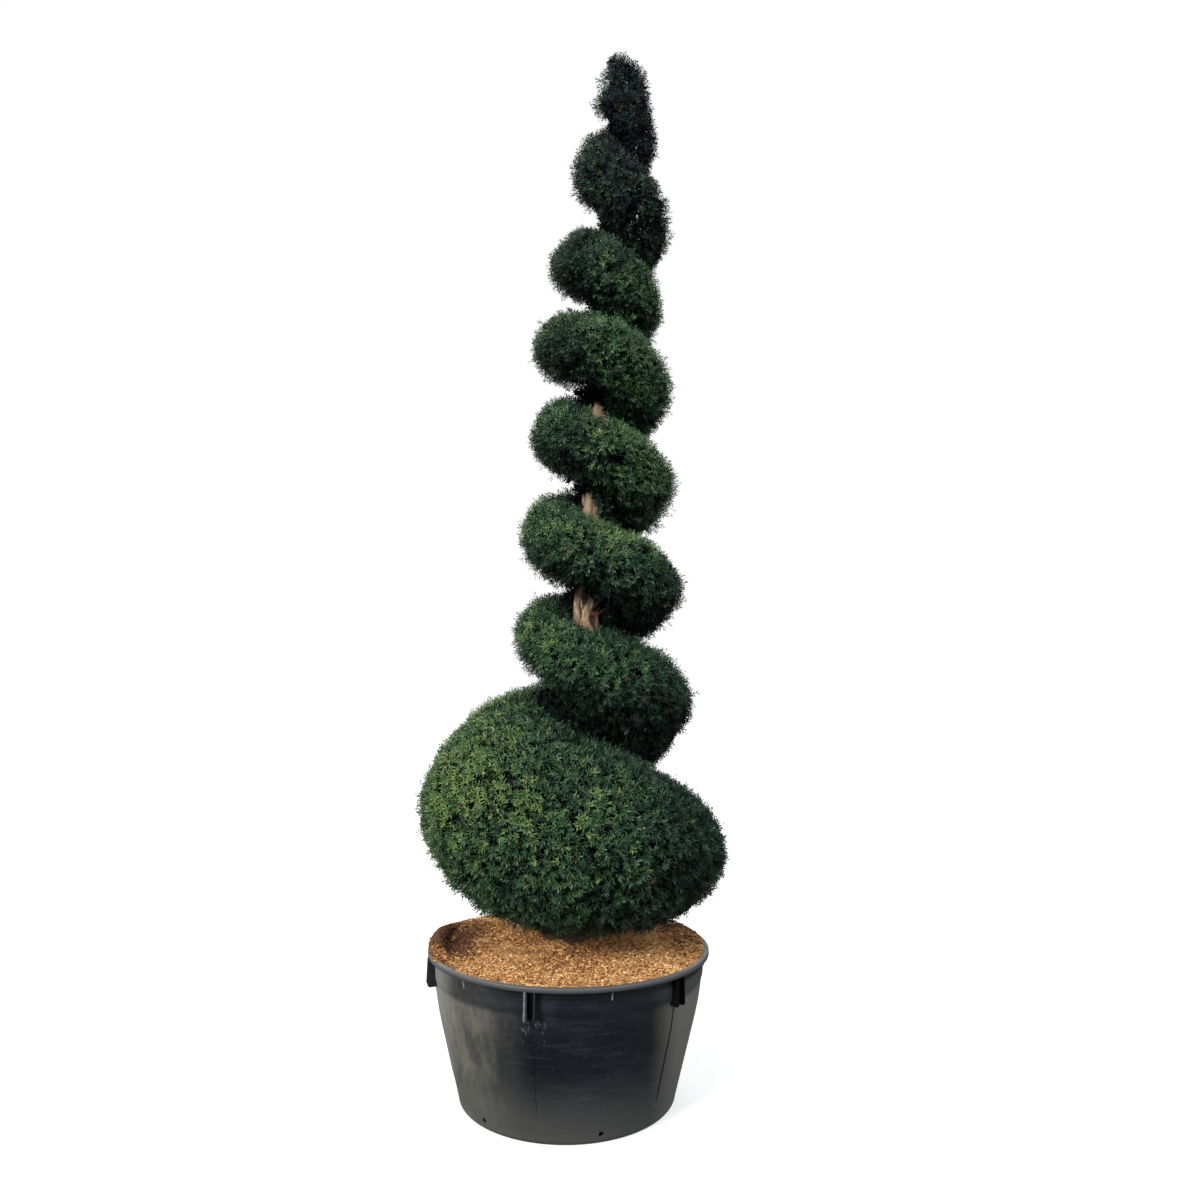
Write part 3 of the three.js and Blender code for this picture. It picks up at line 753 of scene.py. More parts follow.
def scatter_chips(rng):
    """Splinters of bark over the litter, and a few more heaped on to the lip at the back."""
    count, spilt = LITTER["chips"], LITTER["spilt"]
    reach = BORE * np.sqrt(rng.uniform(0.01, 1, count))
    turn = rng.uniform(0, 2 * math.pi, count)
    centre = spoke(turn) * reach[:, None]
    centre[:, 2] = soil_height(centre[:, 0], centre[:, 1]) + rng.uniform(-0.001, 0.0055, count)
    for heap in HEAPS:
        more = heap["turn"] + heap["spread"] * rng.uniform(-0.97, 0.97, spilt)
        on_it = heap_at(more, rng.uniform(-1, 0.97, spilt), heap)
        on_it[:, 2] += rng.uniform(0.0, 0.004, spilt)
        centre = np.concatenate([centre, on_it])
    total = len(centre)
    heading = rng.uniform(0, 2 * math.pi, total)
    tilt = rng.normal(0, 0.22, total)
    long = spoke(heading) * np.cos(tilt)[:, None] + np.sin(tilt)[:, None] * [0, 0, 1]
    wide = unit(np.cross([0, 0, 1], long) + rng.normal(0, 0.3, (total, 3)))
    thick = np.cross(long, wide)
    size = rng.lognormal(0, 0.32, total)[:, None]
    long = long * size * LITTER["long"]
    wide = wide * size * rng.uniform(LITTER["narrow"], LITTER["wide"], (total, 1))
    thick = thick * size * LITTER["thick"]
    bend = rng.uniform(-0.35, 0.35, (total, 1))
    corners = np.stack([
        centre - long, centre + wide + long * bend, centre - wide - long * bend, centre + long,
        centre + thick, centre - thick], 1)
    shape = np.array([
        [0, 2, 4], [2, 3, 4], [3, 1, 4], [1, 0, 4], [2, 0, 5], [3, 2, 5], [1, 3, 5], [0, 1, 5]])
    reach = np.hypot(centre[:, 0], centre[:, 1])
    way = np.degrees(np.arctan2(centre[:, 1], centre[:, 0])) % 360
    # chips darker on the heap at the left and at the back right: partly their own tone, partly painted
    # shade under the plant
    shade = 0.85 * np.exp(-((way - 178) / 30) ** 4) * smooth(0.26, 0.46, reach)
    from_right = np.minimum(abs(way - 20), abs(way - 380))
    shade += 0.75 * np.exp(-(from_right / 36) ** 2) * smooth(0.30, 0.52, reach)
    # chips nearer the stem are drawn darker too, as painted shade under the plant
    draw = rng.uniform(size=total) + 0.95 * shade + 0.40 * np.exp(-(reach / 0.26) ** 2)
    draw += (0.16 + 0.20 * shade) * noise(centre, 0.05, 6)
    kind = np.searchsorted(np.cumsum([share for _, share in CHIPS.values()]), draw)
    for k, (name, (colour, _)) in enumerate(CHIPS.items()):
        chosen = corners[kind == k]
        faces = (np.arange(len(chosen))[:, None, None] * 6 + shape).reshape(-1, 3)
        mesh = mesh_of("chips_" + name, chosen.reshape(-1, 3), faces)
        piece("chips_" + name, mesh, chip_finish("chip_" + name, colour), "soil", "soil")


# ---------------------------------------------------------------- stem

def stem_rings():
    """Height, middle and radius of each ring of the CAD stem."""
    co = cad_of("trunk")[0]
    heights = np.round(co[:, 2], 4)
    rows = []
    for z in np.unique(heights):
        ring = co[heights == z]
        ring = ring[np.hypot(ring[:, 0] - ring[:, 0].mean(), ring[:, 1]) > 0.004]
        if len(ring) > 3:
            middle = (ring[:, 0].min() + ring[:, 0].max()) / 2
            rows.append([z, middle, np.hypot(ring[:, 0] - middle, ring[:, 1]).mean()])
    return np.array(rows)


STEM = stem_rings()


def stem_at(z):
    """Middle x and radius of the stem at a height."""
    return np.interp(z, STEM[:, 0], STEM[:, 1]), np.interp(z, STEM[:, 0], STEM[:, 2])


def build_stem():
    """The bare stem, with its ribs and the relief of its bark."""
    sides, step = 64, 0.011
    z = np.arange(STEM[0, 0], STEM[-1, 0], step)
    middle, radius = stem_at(z)
    zz, tt = np.meshgrid(z, circle(sides), indexing="ij")
    rr = np.broadcast_to(radius[:, None], zz.shape)
    place = spoke(tt) * rr[..., None] + zz[..., None] * [0, 0, 1]
    strips = noise(place * [1, 1, 0.16], 0.016, 11)
    plates = smooth(-0.1, 0.15, noise(place * [1, 1, 0.35], 0.026, 12))
    fine = noise(place * [1, 1, 0.4], 0.006, 13)
    relief = 0.0032 * strips + 0.0030 * (plates - 0.5) + 0.0011 * fine
    ribs = 1 + 0.07 * np.cos(5 * tt + zz / 0.7)
    reach = rr * ribs + relief * np.clip(rr / 0.03, 0.15, 1)
    points = np.stack([middle[:, None] + reach * np.cos(tt), reach * np.sin(tt), zz], -1).reshape(-1, 3)
    ends = [[STEM[-1, 1], 0, STEM[-1, 0]], [STEM[0, 1], 0, STEM[0, 0]]]
    foot = np.arange(sides)
    fans = np.concatenate([
        fan(foot + len(points) - sides, len(points)), fan(foot, len(points) + 1, turned=True)])
    mesh = mesh_of("stem", np.concatenate([points, ends]), [tube_faces(len(z), sides), fans])
    piece("stem", mesh, bark_finish(), "bark", "trunk", rounded=True)


# ---------------------------------------------------------------- clipped surface

class Surface:
    """The outside of all masses as triangles with smoothed corners and a measure of open sky."""

    def __init__(self):
        points, triangles, owner, self.solid = cad_of(*MASSES)
        corners = points[triangles]
        normal = np.cross(corners[:, 1] - corners[:, 0], corners[:, 2] - corners[:, 0])
        area = np.linalg.norm(normal, axis=1) / 2
        middle = corners.mean(1)
        axis, stem = stem_at(middle[:, 2])
        away = middle - np.stack([axis, np.zeros(len(axis)), middle[:, 2]], -1)
        reach = np.linalg.norm(away, axis=1)
        along = np.stack([-away[:, 1], away[:, 0], np.zeros(len(axis))], -1)
        cap = np.abs(np.sum(unit(normal) * unit(along), -1)) > 0.96
        keep = ~cap & (reach > stem + 0.02) & (area > 1e-7)
        corners, normal = corners[keep], normal[keep]
        cells = np.round(corners.reshape(-1, 3) / 0.002).astype(int)
        keys, index = np.unique(cells, axis=0, return_inverse=True)
        total = np.zeros((len(keys), 3))
        np.add.at(total, index.ravel(), np.repeat(normal, 3, axis=0))
        self.corners, self.area, self.owner = corners, area[keep], owner[keep]
        self.normals = unit(total)[index.ravel()].reshape(-1, 3, 3)
        self.middle, self.facing = corners.mean(1), unit(normal)
        self.measure_sky()

    def measure_sky(self):
        """The share of rays that leave the plant, all round and towards the light."""
        count = 20
        i = np.arange(count) + 0.5
        lean = np.sqrt(i / count)
        rise = np.sqrt(1 - lean ** 2)
        swing = i * GOLDEN
        u, v = across(self.facing)
        self.open = np.zeros(len(self.facing))
        self.lit = np.zeros(len(self.facing))
        for k in range(count):
            ray = self.facing * rise[k] + (u * math.cos(swing[k]) + v * math.sin(swing[k])) * lean[k]
            start = self.middle + self.facing * 0.004
            free = np.array([
                self.solid.ray_cast(Vector(s), Vector(r), 1.2)[0] is None for s, r in zip(start, ray)])
            self.open += free / count
            self.lit += free * np.clip(ray @ LIGHT_FROM, 0, 1) / count

    def thickness(self, place, normal):
        """How far the foliage goes straight in from each place, which can lie a little outside it."""
        room = np.full(len(place), 0.3)
        for i, (p, n) in enumerate(zip(map(Vector, place), map(Vector, normal))):
            start = p
            for _ in range(3):
                hit, facing, _, _ = self.solid.ray_cast(start - n * 0.002, -n, 0.3)
                if hit is None:
                    break
                if facing.dot(n) < 0:
                    room[i] = (hit - p).length
                    break
                start = hit
        return room

    def sample(self, rng, count, weight):
        """Places spread evenly over the surface by weight: points, normals and triangle indices."""
        total = np.cumsum(self.area * weight)
        at = (np.arange(count) + rng.uniform(size=count)) / count * total[-1]
        chosen = np.searchsorted(total, at)
        a, b = np.sqrt(rng.uniform(size=count)), rng.uniform(size=count)
        share = np.stack([1 - a, a * (1 - b), a * b], -1)[..., None]
        corners, normals = self.corners[chosen], self.normals[chosen]
        flat = (corners * share).sum(1)
        normal = unit((normals * share).sum(1))
        lift = ((flat[:, None] - corners) * normals).sum(-1, keepdims=True)
        curved = ((flat[:, None] - lift * normals) * share).sum(1)
        return lerp(flat, curved, 0.75), normal, chosen


LIGHT_FROM = np.array([-0.62, -0.66, 0.42])
SUNNY_SIDE = np.array([-0.73, -0.20, 0.65])     # the way from which light is painted into the tints: shoots that face it are made lighter and yellower

# ---------------------------------------------------------------- growth

def limbs(start, bend, end, thick, thin, sides, steps):
    """Tapering limbs along curves: points and faces, each closed at its far end."""
    t = np.linspace(0, 1, steps + 1)[None, :, None]
    start, bend, end = start[:, None], bend[:, None], end[:, None]
    path = curve(start, bend, end, t)
    heading = unit(2 * (1 - t) * (bend - start) + 2 * t * (end - bend))
    u, v = across(heading)
    turns = circle(sides)[:, None]
    around = u[:, :, None] * np.cos(turns) + v[:, :, None] * np.sin(turns)
    radius = lerp(thick[:, None], thin[:, None], t[..., 0])[..., None, None]
    rings = path[:, :, None] + around * radius
    count = len(rings)
    tips = (path[:, -1] + heading[:, -1] * thin[:, None])[:, None]
    points = np.concatenate([rings.reshape(count, -1, 3), tips], 1)
    walls = tube_faces(steps + 1, sides)
    ends = fan(steps * sides + np.arange(sides), (steps + 1) * sides)
    shift = np.arange(count)[:, None, None] * points.shape[1]
    return points.reshape(-1, 3), (shift + walls).reshape(-1, 4), (shift + ends).reshape(-1, 3)


def spread_picks(points, count, rng):
    """Indices of points that lie far from each other, and each point's nearest pick."""
    picks = [int(rng.integers(len(points)))]
    nearest = np.zeros(len(points), int)
    gap = np.linalg.norm(points - points[picks[0]], axis=1)
    for k in range(1, min(count, len(points))):
        picks.append(int(gap.argmax()))
        from_new = np.linalg.norm(points - points[picks[-1]], axis=1)
        nearest[from_new < gap] = k
        gap = np.minimum(gap, from_new)
    return picks, nearest


def grow_wood(ends, owners, rng):
    """Boughs from the stem, branches from the boughs and twigs to every twig end, mass by mass."""
    levels = {"boughs": [], "branches": [], "twigs": []}
    for k in range(len(MASSES)):
        own = ends[owners == k]
        if not len(own):
            continue
        _, group = spread_picks(own, max(2, len(own) // 48), rng)
        for g in np.unique(group):
            tips = own[group == g]
            centre = tips.mean(0)
            stem_x, _ = stem_at(centre[2])
            away = math.hypot(centre[0] - stem_x, centre[1])
            z = float(np.clip(centre[2] - 0.45 * away, STEM[0, 0] + 0.02, STEM[-1, 0] - 0.01))
            x, radius = stem_at(z)
            root = np.array([x, 0, z])
            root[:2] += unit(centre - root)[:2] * radius * 0.5
            bough_end = lerp(root, centre, 0.80)
            bow = lerp(root, bough_end, 0.5) + [0, 0, 0.06 * away] + rng.normal(0, 0.05 * away, 3)
            size = 0.0035 + 0.011 * math.sqrt(len(tips) / 60) * min(1, away / 0.35)
            levels["boughs"].append((root, bow, bough_end, size, 0.45 * size))
            _, part = spread_picks(tips, max(1, round(len(tips) / 7)), rng)
            for p in np.unique(part):
                leaves = tips[part == p]
                target = leaves.mean(0)
                t = rng.uniform(0.45, 0.98)
                fork = curve(root, bow, bough_end, t)
                branch_end = lerp(fork, target, 0.66)
                bow2 = lerp(fork, branch_end, 0.5) + rng.normal(0, 0.08, 3) * np.linalg.norm(target - fork)
                thick = 0.38 * size
                levels["branches"].append((fork, bow2, branch_end, thick, 0.55 * thick))
                for leaf in leaves:
                    s = rng.uniform(0.6, 1.0)
                    node = curve(fork, bow2, branch_end, s)
                    bow3 = lerp(node, leaf, 0.5) + rng.normal(0, 0.10, 3) * np.linalg.norm(leaf - node)
                    levels["twigs"].append((node, bow3, leaf, 0.0021, 0.0012))
    finish = wood_finish("branch_bark", srgb(26, 21, 18), srgb(54, 43, 36))
    for name, sides, steps in (("boughs", 7, 7), ("branches", 5, 4), ("twigs", 3, 2)):
        rows = levels[name]
        start, bend, end = (np.array([r[i] for r in rows]) for i in range(3))
        thick, thin = (np.array([r[i] for r in rows]) for i in (3, 4))
        points, quads, fans = limbs(start, bend, end, thick, thin, sides, steps)
        mesh = mesh_of(name, points, [quads, fans])
        piece(name, mesh, finish, "bark", *MASSES, rounded=name != "twigs")


def needles(kind, base, axis, length, size, rng):
    """Kites set in a loose spiral round each shoot, as (shoots, needles, 4 corners, 3)."""
    shoots, count = len(base), kind["count"]
    along = np.linspace(kind["first"], 1.0, count)
    turn = rng.uniform(0, 2 * math.pi, (shoots, 1)) + np.arange(count) * GOLDEN
    turn = (turn + rng.normal(0, 0.3, (shoots, count)))[..., None]
    splay = np.radians(lerp(kind["first_splay"], kind["last_splay"], along))
    splay = (splay + rng.normal(0, 0.2, (shoots, count)))[..., None]
    u, v = across(axis)
    out = u[:, None] * np.cos(turn) + v[:, None] * np.sin(turn)
    heading = axis[:, None] * np.cos(splay) + out * np.sin(splay)
    root = base[:, None] + axis[:, None] * (length[:, None] * along)[..., None]
    long = kind["length"] * size[:, None] * rng.uniform(0.75, 1.15, (shoots, count))
    long = long[..., None]
    side = unit(np.cross(heading, axis[:, None])) * (kind["width"] / 2) * size[:, None, None]
    middle = root + heading * long * 0.58
    keel = unit(np.cross(side, heading)) * kind["width"] * 0.14
    tip = root + heading * long + axis[:, None] * long * 0.14
    return np.stack([root, middle - side + keel, tip, middle + side + keel], 2)


# Plain needle colours from the darkest up, as red, green and blue reflectance, with roughness and sheen.
TINTS = [
    ("shade", (0.006, 0.012, 0.010), 0.55, 0.10), ("dusk", (0.012, 0.027, 0.018), 0.46, 0.18),
    ("deep", (0.020, 0.052, 0.028), 0.42, 0.25), ("mid", (0.036, 0.088, 0.038), 0.40, 0.30),
    ("fresh", (0.066, 0.142, 0.052), 0.38, 0.32), ("tips", (0.145, 0.228, 0.066), 0.38, 0.35),
]
SLATE = [
    ("night", (0.006, 0.009, 0.012), 0.55, 0.10), ("slate", (0.015, 0.026, 0.026), 0.48, 0.15),
    ("spruce", (0.033, 0.058, 0.047), 0.44, 0.22),
]
DRY = ("dry", (0.085, 0.064, 0.042), 0.70, 0.20)
# Height and the usual step of TINTS there, falling with height: partly the foliage's own tone, partly
# painted shade.
TONE = [
    (0.6, 2.75), (1.2, 2.75), (1.8, 2.1), (2.3, 1.9), (2.8, 1.6),
    (3.2, 1.5), (3.6, 1.1), (4.0, 0.8), (4.5, 0.1),
]


def tint_of(surface, chosen, place, normal, rng):
    """The tint of each shoot, varied in patches: darker with height, partly as painted shade; painted
    lighter where light falls and darker underneath and in the shade.
    """
    x, y, z = place.T
    patch = 0.55 * noise(place, 0.20, 21) + 0.45 * noise(place, 0.05, 22)
    # painted light: lighter the more of the light reaches a shoot
    sunny = surface.lit[chosen] / 0.45
    step = np.interp(z, *zip(*TONE)) + (1.1 - 0.6 * smooth(2.0, 3.2, z)) * (sunny - 0.5) + 0.9 * patch
    # the fat first turn: painted light at its left, painted shade at its right
    low = smooth(1.7, 1.4, z)
    step += low * (0.7 * smooth(-0.10, -0.45, x) - 1.2 * smooth(0.18, 0.46, x))
    # painted light: lighter lobes at the right of the stem, and on the far side
    right = smooth(0.0, 0.14, x) * smooth(1.95, 2.35, z) * smooth(3.8, 3.3, z)
    step += 2.3 * right + 0.9 * smooth(0.0, 0.15, y)
    step += 0.75 * noise(place, *SPRAY)
    # painted light: lighter, yellower tints where the shoots face SUNNY_SIDE
    step += (1.1 - 0.7 * low) * smooth(0.45, 0.95, normal @ SUNNY_SIDE)
    # painted shade: darker close behind the stem, underneath, where little sky is seen, and on the fat turn
    # just under the next one
    middle, _ = stem_at(z)
    reach = np.hypot(x - middle, y)
    step -= (1 - low) * 1.9 * smooth(0.25, 0.18, reach) * smooth(-0.05, 0.02, y) * smooth(3.3, 2.9, z)
    step -= 1.0 * smooth(-0.35, -0.85, normal[:, 2])
    step -= 1.5 * smooth(0.42, 0.15, surface.open[chosen])
    step -= low * 1.1 * smooth(1.30, 1.55, z) * smooth(-0.25, 0.0, x)
    step += rng.normal(-0.10, 0.75, len(place))
    step = np.minimum(step, len(TINTS) - 1.7 * right)
    tint = np.clip(np.round(step), 0, len(TINTS) - 1).astype(int)
    # bluer darks towards the top, and a few dead shoots
    cold = rng.uniform(size=len(place)) < smooth(3.1, 4.2, z)
    tint = np.where(cold & (tint < len(SLATE)), tint + len(TINTS), tint)
    dry = rng.uniform(size=len(place)) < 0.004 + 0.012 * smooth(3.2, 4.4, z)
    return np.where(dry, len(TINTS) + len(SLATE), tint)


def hollow_push(place, centres, sizes):
    """How far each place is pushed in by the hollows, from 0 to 1."""
    push = np.zeros(len(place))
    for centre, size in zip(centres, sizes):
        gap = np.linalg.norm(place - centre, axis=1) / size
        push = np.maximum(push, 1 - smooth(0.45, 1.15, gap))
    return push


def add_needles(name, kites, finish):
    """Joins kites into pieces that stay under the export's limit."""
    kites = kites.reshape(-1, 4, 3)
    for part in range(math.ceil(len(kites) / MOST_KITES)):
        own = kites[part * MOST_KITES:(part + 1) * MOST_KITES].reshape(-1, 3)
        first = np.arange(len(own) // 4)[:, None] * 4
        faces = np.concatenate([first + [0, 1, 2], first + [0, 2, 3]])
        title = f"{name}_{part + 1}"
        piece(title, mesh_of(title, own, faces), finish, "foliage", *MASSES)


def shade_kites(surface, layer, kind, rng):
    """Broad dark growth under the clipped layer, none of which reaches out through it."""
    place, normal, _ = surface.sample(rng, SHADE_SAMPLES, np.ones(len(surface.area)))
    shuffled = rng.permutation(len(place))
    place, normal = place[shuffled], normal[shuffled]
    room = surface.thickness(place, normal)
    roomy = room >= layer["least_room"]
    place, normal = place[roomy], normal[roomy]
    small = np.clip(room[roomy] / layer["full_room"], 0.33, 1)
    chosen = evenly(place, layer["gap"] * small)
    place, normal, small = place[chosen], normal[chosen], small[chosen]
    u, v = across(normal)
    swing = rng.uniform(0, 2 * math.pi, (len(place), 1))
    axis = unit(u * np.cos(swing) + v * np.sin(swing) + 0.45 * normal)
    depth = rng.uniform(layer["near"], layer["far"], len(place))
    depth = np.minimum(depth, 0.45 * layer["full_room"] * small)
    size = rng.uniform(0.9, 1.15, len(place)) * small
    length = layer["length"] * size
    base = place - normal * depth[:, None] - axis * length[:, None] / 2
    kites = needles(kind, base, axis, length, size, rng)
    place, normal = place[:, None, None], normal[:, None, None]
    proud = np.sum((kites - place) * normal, -1, keepdims=True) + layer["clear"]
    return kites - normal * np.maximum(proud, 0)


def bare_edge(window, edge, z):
    """Where the first or last edge of a bare place lies round the stem at each height, in degrees."""
    turn, slant = window[edge]
    return turn + slant * (z - (window["low"] + window["high"]) / 2) / (window["high"] - window["low"])


def on_stem(z, turn):
    """Places on the stem just under its bark, and the way out from it."""
    x, radius = stem_at(z)
    out = spoke(turn)
    root = out * radius[:, None] * 0.8
    root[:, 0] += x
    root[:, 2] = z
    return root, out


def collar_kites(rng):
    """Dark shoots that clothe the stem where no bark shows."""
    foot, top = STEM[0, 0] + COLLAR["foot"], COLLAR["top"]
    z = np.concatenate([
        rng.uniform(foot, top, COLLAR["shoots"]),
        rng.uniform(foot + COLLAR["low_foot"], COLLAR["low_top"], COLLAR["low_shoots"]),
        rng.uniform(COLLAR["high_foot"], top, COLLAR["high_shoots"])])
    turn = rng.uniform(-180, 180, len(z))
    bare = np.zeros(len(z), bool)
    for window in BARE:
        facing = (turn > bare_edge(window, "first", z)) & (turn < bare_edge(window, "last", z))
        bare |= facing & (z > window["low"] - 0.012) & (z < window["high"] + 0.012)
    z, turn = z[~bare], np.radians(turn[~bare])
    root, out = on_stem(z, turn)
    near_bare = np.min([np.abs(z - window[edge]) for window in BARE for edge in ("low", "high")], 0)
    rise = rng.uniform(-0.3, 0.5, len(z)) * smooth(0.02, 0.10, near_bare)
    axis = unit(out + rng.normal(0, 0.35, out.shape) * [1, 1, 0] + rise[:, None] * [0, 0, 1.0])
    small = (1 - 0.42 * smooth(2.9, 3.6, z)) * lerp(0.6, 1, smooth(0.62, 0.85, z))
    full = lerp(COLLAR["length"], COLLAR["low_length"], smooth(1.65, 1.40, z) * smooth(0.85, 1.02, z))
    length = full * small * rng.uniform(0.5, 1.1, len(z)) * (0.4 + 0.6 * smooth(0, 0.1, near_bare))
    return needles(SHADE_NEEDLE, root, axis, length, small * rng.uniform(0.55, 0.9, len(z)), rng)


def in_bare(place):
    """Whether places lie in front of a bare part of the stem, seen from the front."""
    x, y, z = np.moveaxis(place, -1, 0)
    middle, radius = stem_at(z)
    found = np.zeros(x.shape, bool)
    for window in BARE:
        left, right = (
            middle + radius * np.cos(np.radians(bare_edge(window, e, z))) for e in ("first", "last"))
        level = (z > window["low"]) & (z < window["high"])
        found |= level & (x > left) & (x < right) & (abs(y + 0.15) < 0.15)
    return found


def fringe_kites(rng):
    """Shoots on the stem beside the bare places, which they half close."""
    made = []
    for window in BARE:
        z = rng.uniform(window["low"] - 0.02, window["high"] + 0.03, FRINGE["shoots"])
        edge = bare_edge(window, "last", z)
        root, out = on_stem(z, np.radians(edge + 10 + rng.uniform(0, FRINGE["wide"], len(z))))
        axis = unit(out + rng.normal(0, 0.25, out.shape))
        length = FRINGE["reach"] * rng.uniform(0.5, 1.2, len(z))
        made.append(needles(NEEDLE, root, axis, length, rng.uniform(0.85, 1.12, len(z)), rng))
    return np.concatenate(made)


def closing(surface, chosen, base):
    """How much longer shoots are in the narrow grooves at the front, which they close over."""
    stem_x, _ = stem_at(base[:, 2])
    front = smooth(0.02, -0.05, base[:, 1]) * smooth(-0.07, 0.0, base[:, 0] - stem_x)
    narrow = 1 - smooth(0.15, 0.40, surface.open[chosen])
    storeys = smooth(2.93, 3.0, base[:, 2]) + smooth(1.72, 1.62, base[:, 2])
    return SHOOTS["closing"] * front * narrow * storeys


def fullness(place):
    """How far the left of the tip fills out above and below its widest place, where it draws in."""
    x, _, z = place.T
    left = smooth(-0.01, -0.04, x - stem_at(z)[0])
    above = 0.024 * smooth(4.36, 4.40, z) * smooth(4.49, 4.45, z)
    below = 0.014 * smooth(4.30, 4.27, z) * smooth(4.20, 4.23, z)
    return left * (above + below - 0.028 * np.exp(-((z - 4.33) / 0.03) ** 2))


def shoots_on(surface, rng):
    """Twig ends, and shoots from them to places spread evenly under the surface."""
    weight = np.clip(0.40 + 1.4 * surface.open, 0, 1)
    spots, outward, under = surface.sample(rng, SHOOTS["twigs"], weight)
    owners = surface.owner[under]
    deep = np.minimum(SHOOTS["twig_depth"], 0.45 * surface.thickness(spots, outward))
    ends = spots - outward * deep[:, None]
    ends[:, 2] -= SHOOTS["sweep"] * rng.uniform(0.3, 1.2, len(ends))
    tree = KDTree(len(ends))
    for i, end in enumerate(ends):
        tree.insert(end, i)
    tree.balance()

    place, normal, chosen = surface.sample(rng, SHOOTS["samples"], weight)
    shuffled = rng.permutation(len(place))
    shuffled = shuffled[evenly(place[shuffled], SHOOTS["gap"] / np.sqrt(weight[chosen[shuffled]]))]
    place, normal, chosen = place[shuffled], normal[shuffled], chosen[shuffled]
    centres = surface.sample(rng, HOLLOWS["count"], surface.open ** 2)[0]
    push = hollow_push(place, centres, HOLLOWS["radius"] * rng.lognormal(0, 0.35, len(centres)))
    keep = rng.uniform(size=len(place)) > 0.5 * push
    place, normal, chosen, push = place[keep], normal[keep], chosen[keep], push[keep]
    count = len(place)
    deep = np.minimum(SHOOTS["twig_depth"], 0.45 * surface.thickness(place, normal))
    inner = place - normal * deep[:, None]
    source = np.array([tree.find(p)[1] for p in inner])
    sink = SHOOTS["tip_depth"] + HOLLOWS["depth"] * push + rng.normal(0, SHOOTS["uneven"], count)
    sink += SHOOTS["low_depth"] * smooth(1.75, 1.45, place[:, 2])
    rough = SHOOTS["tuft"] * (1 + SHOOTS["rough_below"] * smooth(0.1, -0.6, normal[:, 2]))
    sink -= rough * (0.5 * noise(place, 0.075, 31) + noise(place, *SPRAY))
    stray = rng.uniform(size=count) < SHOOTS["stray_share"] * (1 + smooth(0.0, -0.7, normal[:, 2]))
    sink -= stray * SHOOTS["stray"] * rng.uniform(0.3, 1, count)
    sink -= closing(surface, chosen, place) + fullness(place)
    used = np.unique(source)
    grow_wood(ends[used], owners[used], rng)
    tips = place - normal * sink[:, None]
    return ends[source], tips, normal, chosen, push


def build_foliage(rng):
    """All needles and shoots by tint, the old growth inside, painted near-black for its shade, and the wood
    that carries them.
    """
    surface = Surface()
    base, tips, normal, chosen, push = shoots_on(surface, rng)
    length = np.linalg.norm(tips - base, axis=1)
    axis = unit(tips - base)
    tint = tint_of(surface, chosen, tips, normal, rng)
    # painted shade: shoots deep in a hollow take the darkest tint
    tint = np.where(push > 0.5, 0, tint)
    kites = needles(NEEDLE, base, axis, length, rng.uniform(0.85, 1.12, len(base)), rng)
    fringe = fringe_kites(rng)
    kites = np.concatenate([kites, fringe])
    tint = np.concatenate([tint, rng.integers(1, 4, len(fringe))])
    kites, tint = kites.reshape(-1, 4, 3), np.repeat(tint, NEEDLE["count"])
    clear = ~in_bare(kites[:, 0])
    kites, tint = kites[clear], tint[clear]
    for k, (name, *finish) in enumerate(TINTS + SLATE + [DRY]):
        add_needles("needles_" + name, kites[tint == k], needle_finish("needle_" + name, *finish))
    # painted shade: the old growth inside and the shoots on the stem are near-black
    shade = needle_finish("needle_old_shade", TINTS[0][1], 0.7, 0.10)
    inner = [
        shade_kites(surface, SHADE, SHADE_NEEDLE, rng), shade_kites(surface, CORE, CORE_NEEDLE, rng),
        collar_kites(rng)]
    inner = np.concatenate([kites.reshape(-1, 4, 3) for kites in inner])
    add_needles("needles_old_shade", inner[~in_bare(inner[:, 0])], shade)
    clear = ~in_bare(tips)
    build_stems(base[clear], axis[clear], length[clear])


def build_stems(base, axis, length):
    """The green stem of every shoot: a three-sided spike."""
    u, v = across(axis)
    thirds = (0, 2.094, 4.189)
    corners = [base + (u * math.cos(t) + v * math.sin(t)) * SHOOTS["stem"] for t in thirds]
    points = np.stack(corners + [base + axis * length[:, None]], 1).reshape(-1, 3)
    first = np.arange(len(base))[:, None] * 4
    faces = np.concatenate([first + [0, 1, 3], first + [1, 2, 3], first + [2, 0, 3]])
    finish = wood_finish("shoot_bark", srgb(52, 62, 38), srgb(84, 88, 56))
    piece("shoots", mesh_of("shoots", points, faces), finish, "foliage", *MASSES)


# ---------------------------------------------------------------- camera, floor and light

# Each sun: its name, where it stands, its strength, its spread in degrees and its colour.
SUNS = [
    ("key", LIGHT_FROM, 4.05, 20, (1.0, 0.985, 0.955)),
    ("fill", (0.50, -0.72, 0.48), 1.8, 50, (0.97, 0.98, 1.0)),
    ("top", (-0.10, -0.10, 0.98), 0.7, 60, (1.0, 0.99, 0.97)),
    ("rim", (0.95, -0.05, 0.20), 0.8, 50, (0.97, 0.98, 1.0)),
    ("back", (-0.20, 0.90, 0.30), 1.5, 60, (1.0, 0.99, 0.97)),
]


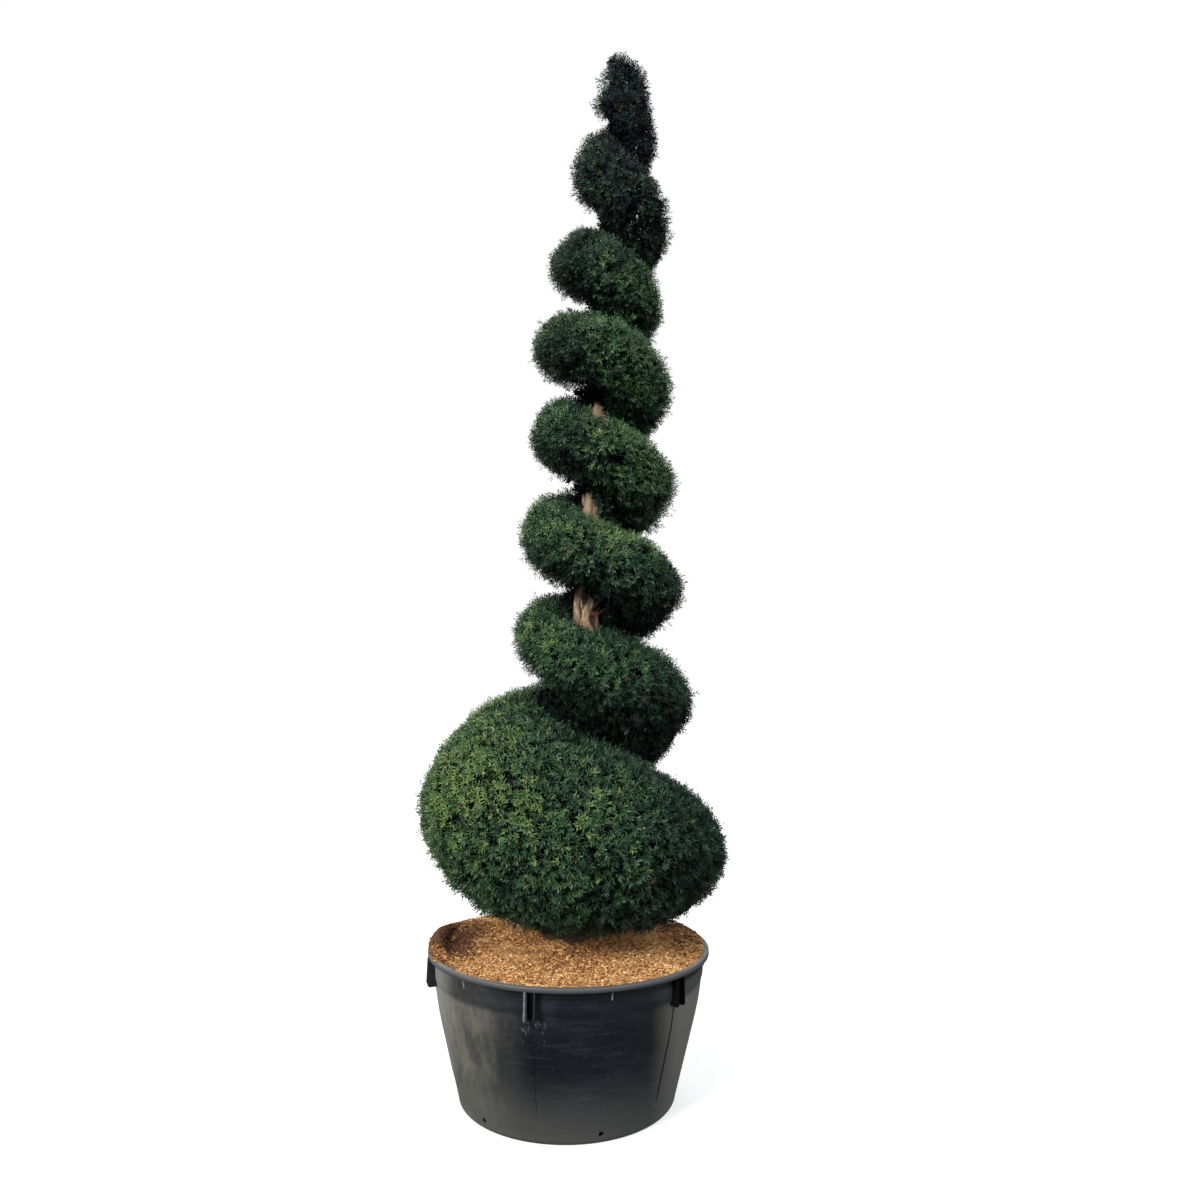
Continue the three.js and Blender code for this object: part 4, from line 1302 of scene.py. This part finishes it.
def build_stage():
    """The camera of the photo, a pale floor that lights nothing, soft suns and a white backdrop."""
    scene = bpy.context.scene
    camera = bpy.data.objects.new("camera", bpy.data.cameras.new("camera"))
    camera.data.sensor_width = 36.0
    camera.data.lens = 25.8
    turn = Matrix.Rotation(math.radians(96.61), 4, "X") @ Matrix.Rotation(math.radians(0.46), 4, "Z")
    camera.matrix_world = Matrix.Translation((0.116, -3.69, 1.579)) @ turn
    scene.collection.objects.link(camera)
    scene.camera = camera

    bpy.ops.mesh.primitive_plane_add(size=120, location=(0, 0, 0))
    floor = bpy.context.object
    floor.name = "floor"
    ground = Finish("pale_floor", 0.9, 0.1)
    ground.shader.inputs["Base Color"].default_value = (0.60, 0.60, 0.60, 1)
    ground.shader.inputs["Emission Color"].default_value = (1, 1, 1, 1)
    ground.shader.inputs["Emission Strength"].default_value = 0.55
    floor.data.materials.append(ground.material)
    floor.visible_diffuse = False
    floor.visible_glossy = False

    for name, source, strength, spread, colour in SUNS:
        light = bpy.data.lights.new(name, "SUN")
        light.energy = strength
        light.angle = math.radians(spread)
        light.color = colour
        obj = bpy.data.objects.new(name, light)
        obj.rotation_mode = "QUATERNION"
        obj.rotation_quaternion = Vector(source).to_track_quat("Z", "Y")
        scene.collection.objects.link(obj)

    world = bpy.data.worlds.new("studio")
    scene.world = world
    world.use_nodes = True
    tree = world.node_tree
    tree.nodes.clear()
    out = tree.nodes.new("ShaderNodeOutputWorld")
    seen, light = tree.nodes.new("ShaderNodeBackground"), tree.nodes.new("ShaderNodeBackground")
    seen.inputs["Color"].default_value = (1, 1, 1, 1)
    light.inputs["Color"].default_value = (0.82, 0.90, 1.0, 1)
    light.inputs["Strength"].default_value = 0.18
    path = tree.nodes.new("ShaderNodeLightPath")
    mixed = tree.nodes.new("ShaderNodeMixShader")
    tree.links.new(path.outputs["Is Camera Ray"], mixed.inputs[0])
    tree.links.new(light.outputs[0], mixed.inputs[1])
    tree.links.new(seen.outputs[0], mixed.inputs[2])
    tree.links.new(mixed.outputs[0], out.inputs["Surface"])
    scene.view_settings.view_transform = "Standard"


build_stage()
build_tub()
build_soil(np.random.default_rng(7))
build_stem()
build_foliage(np.random.default_rng(11))
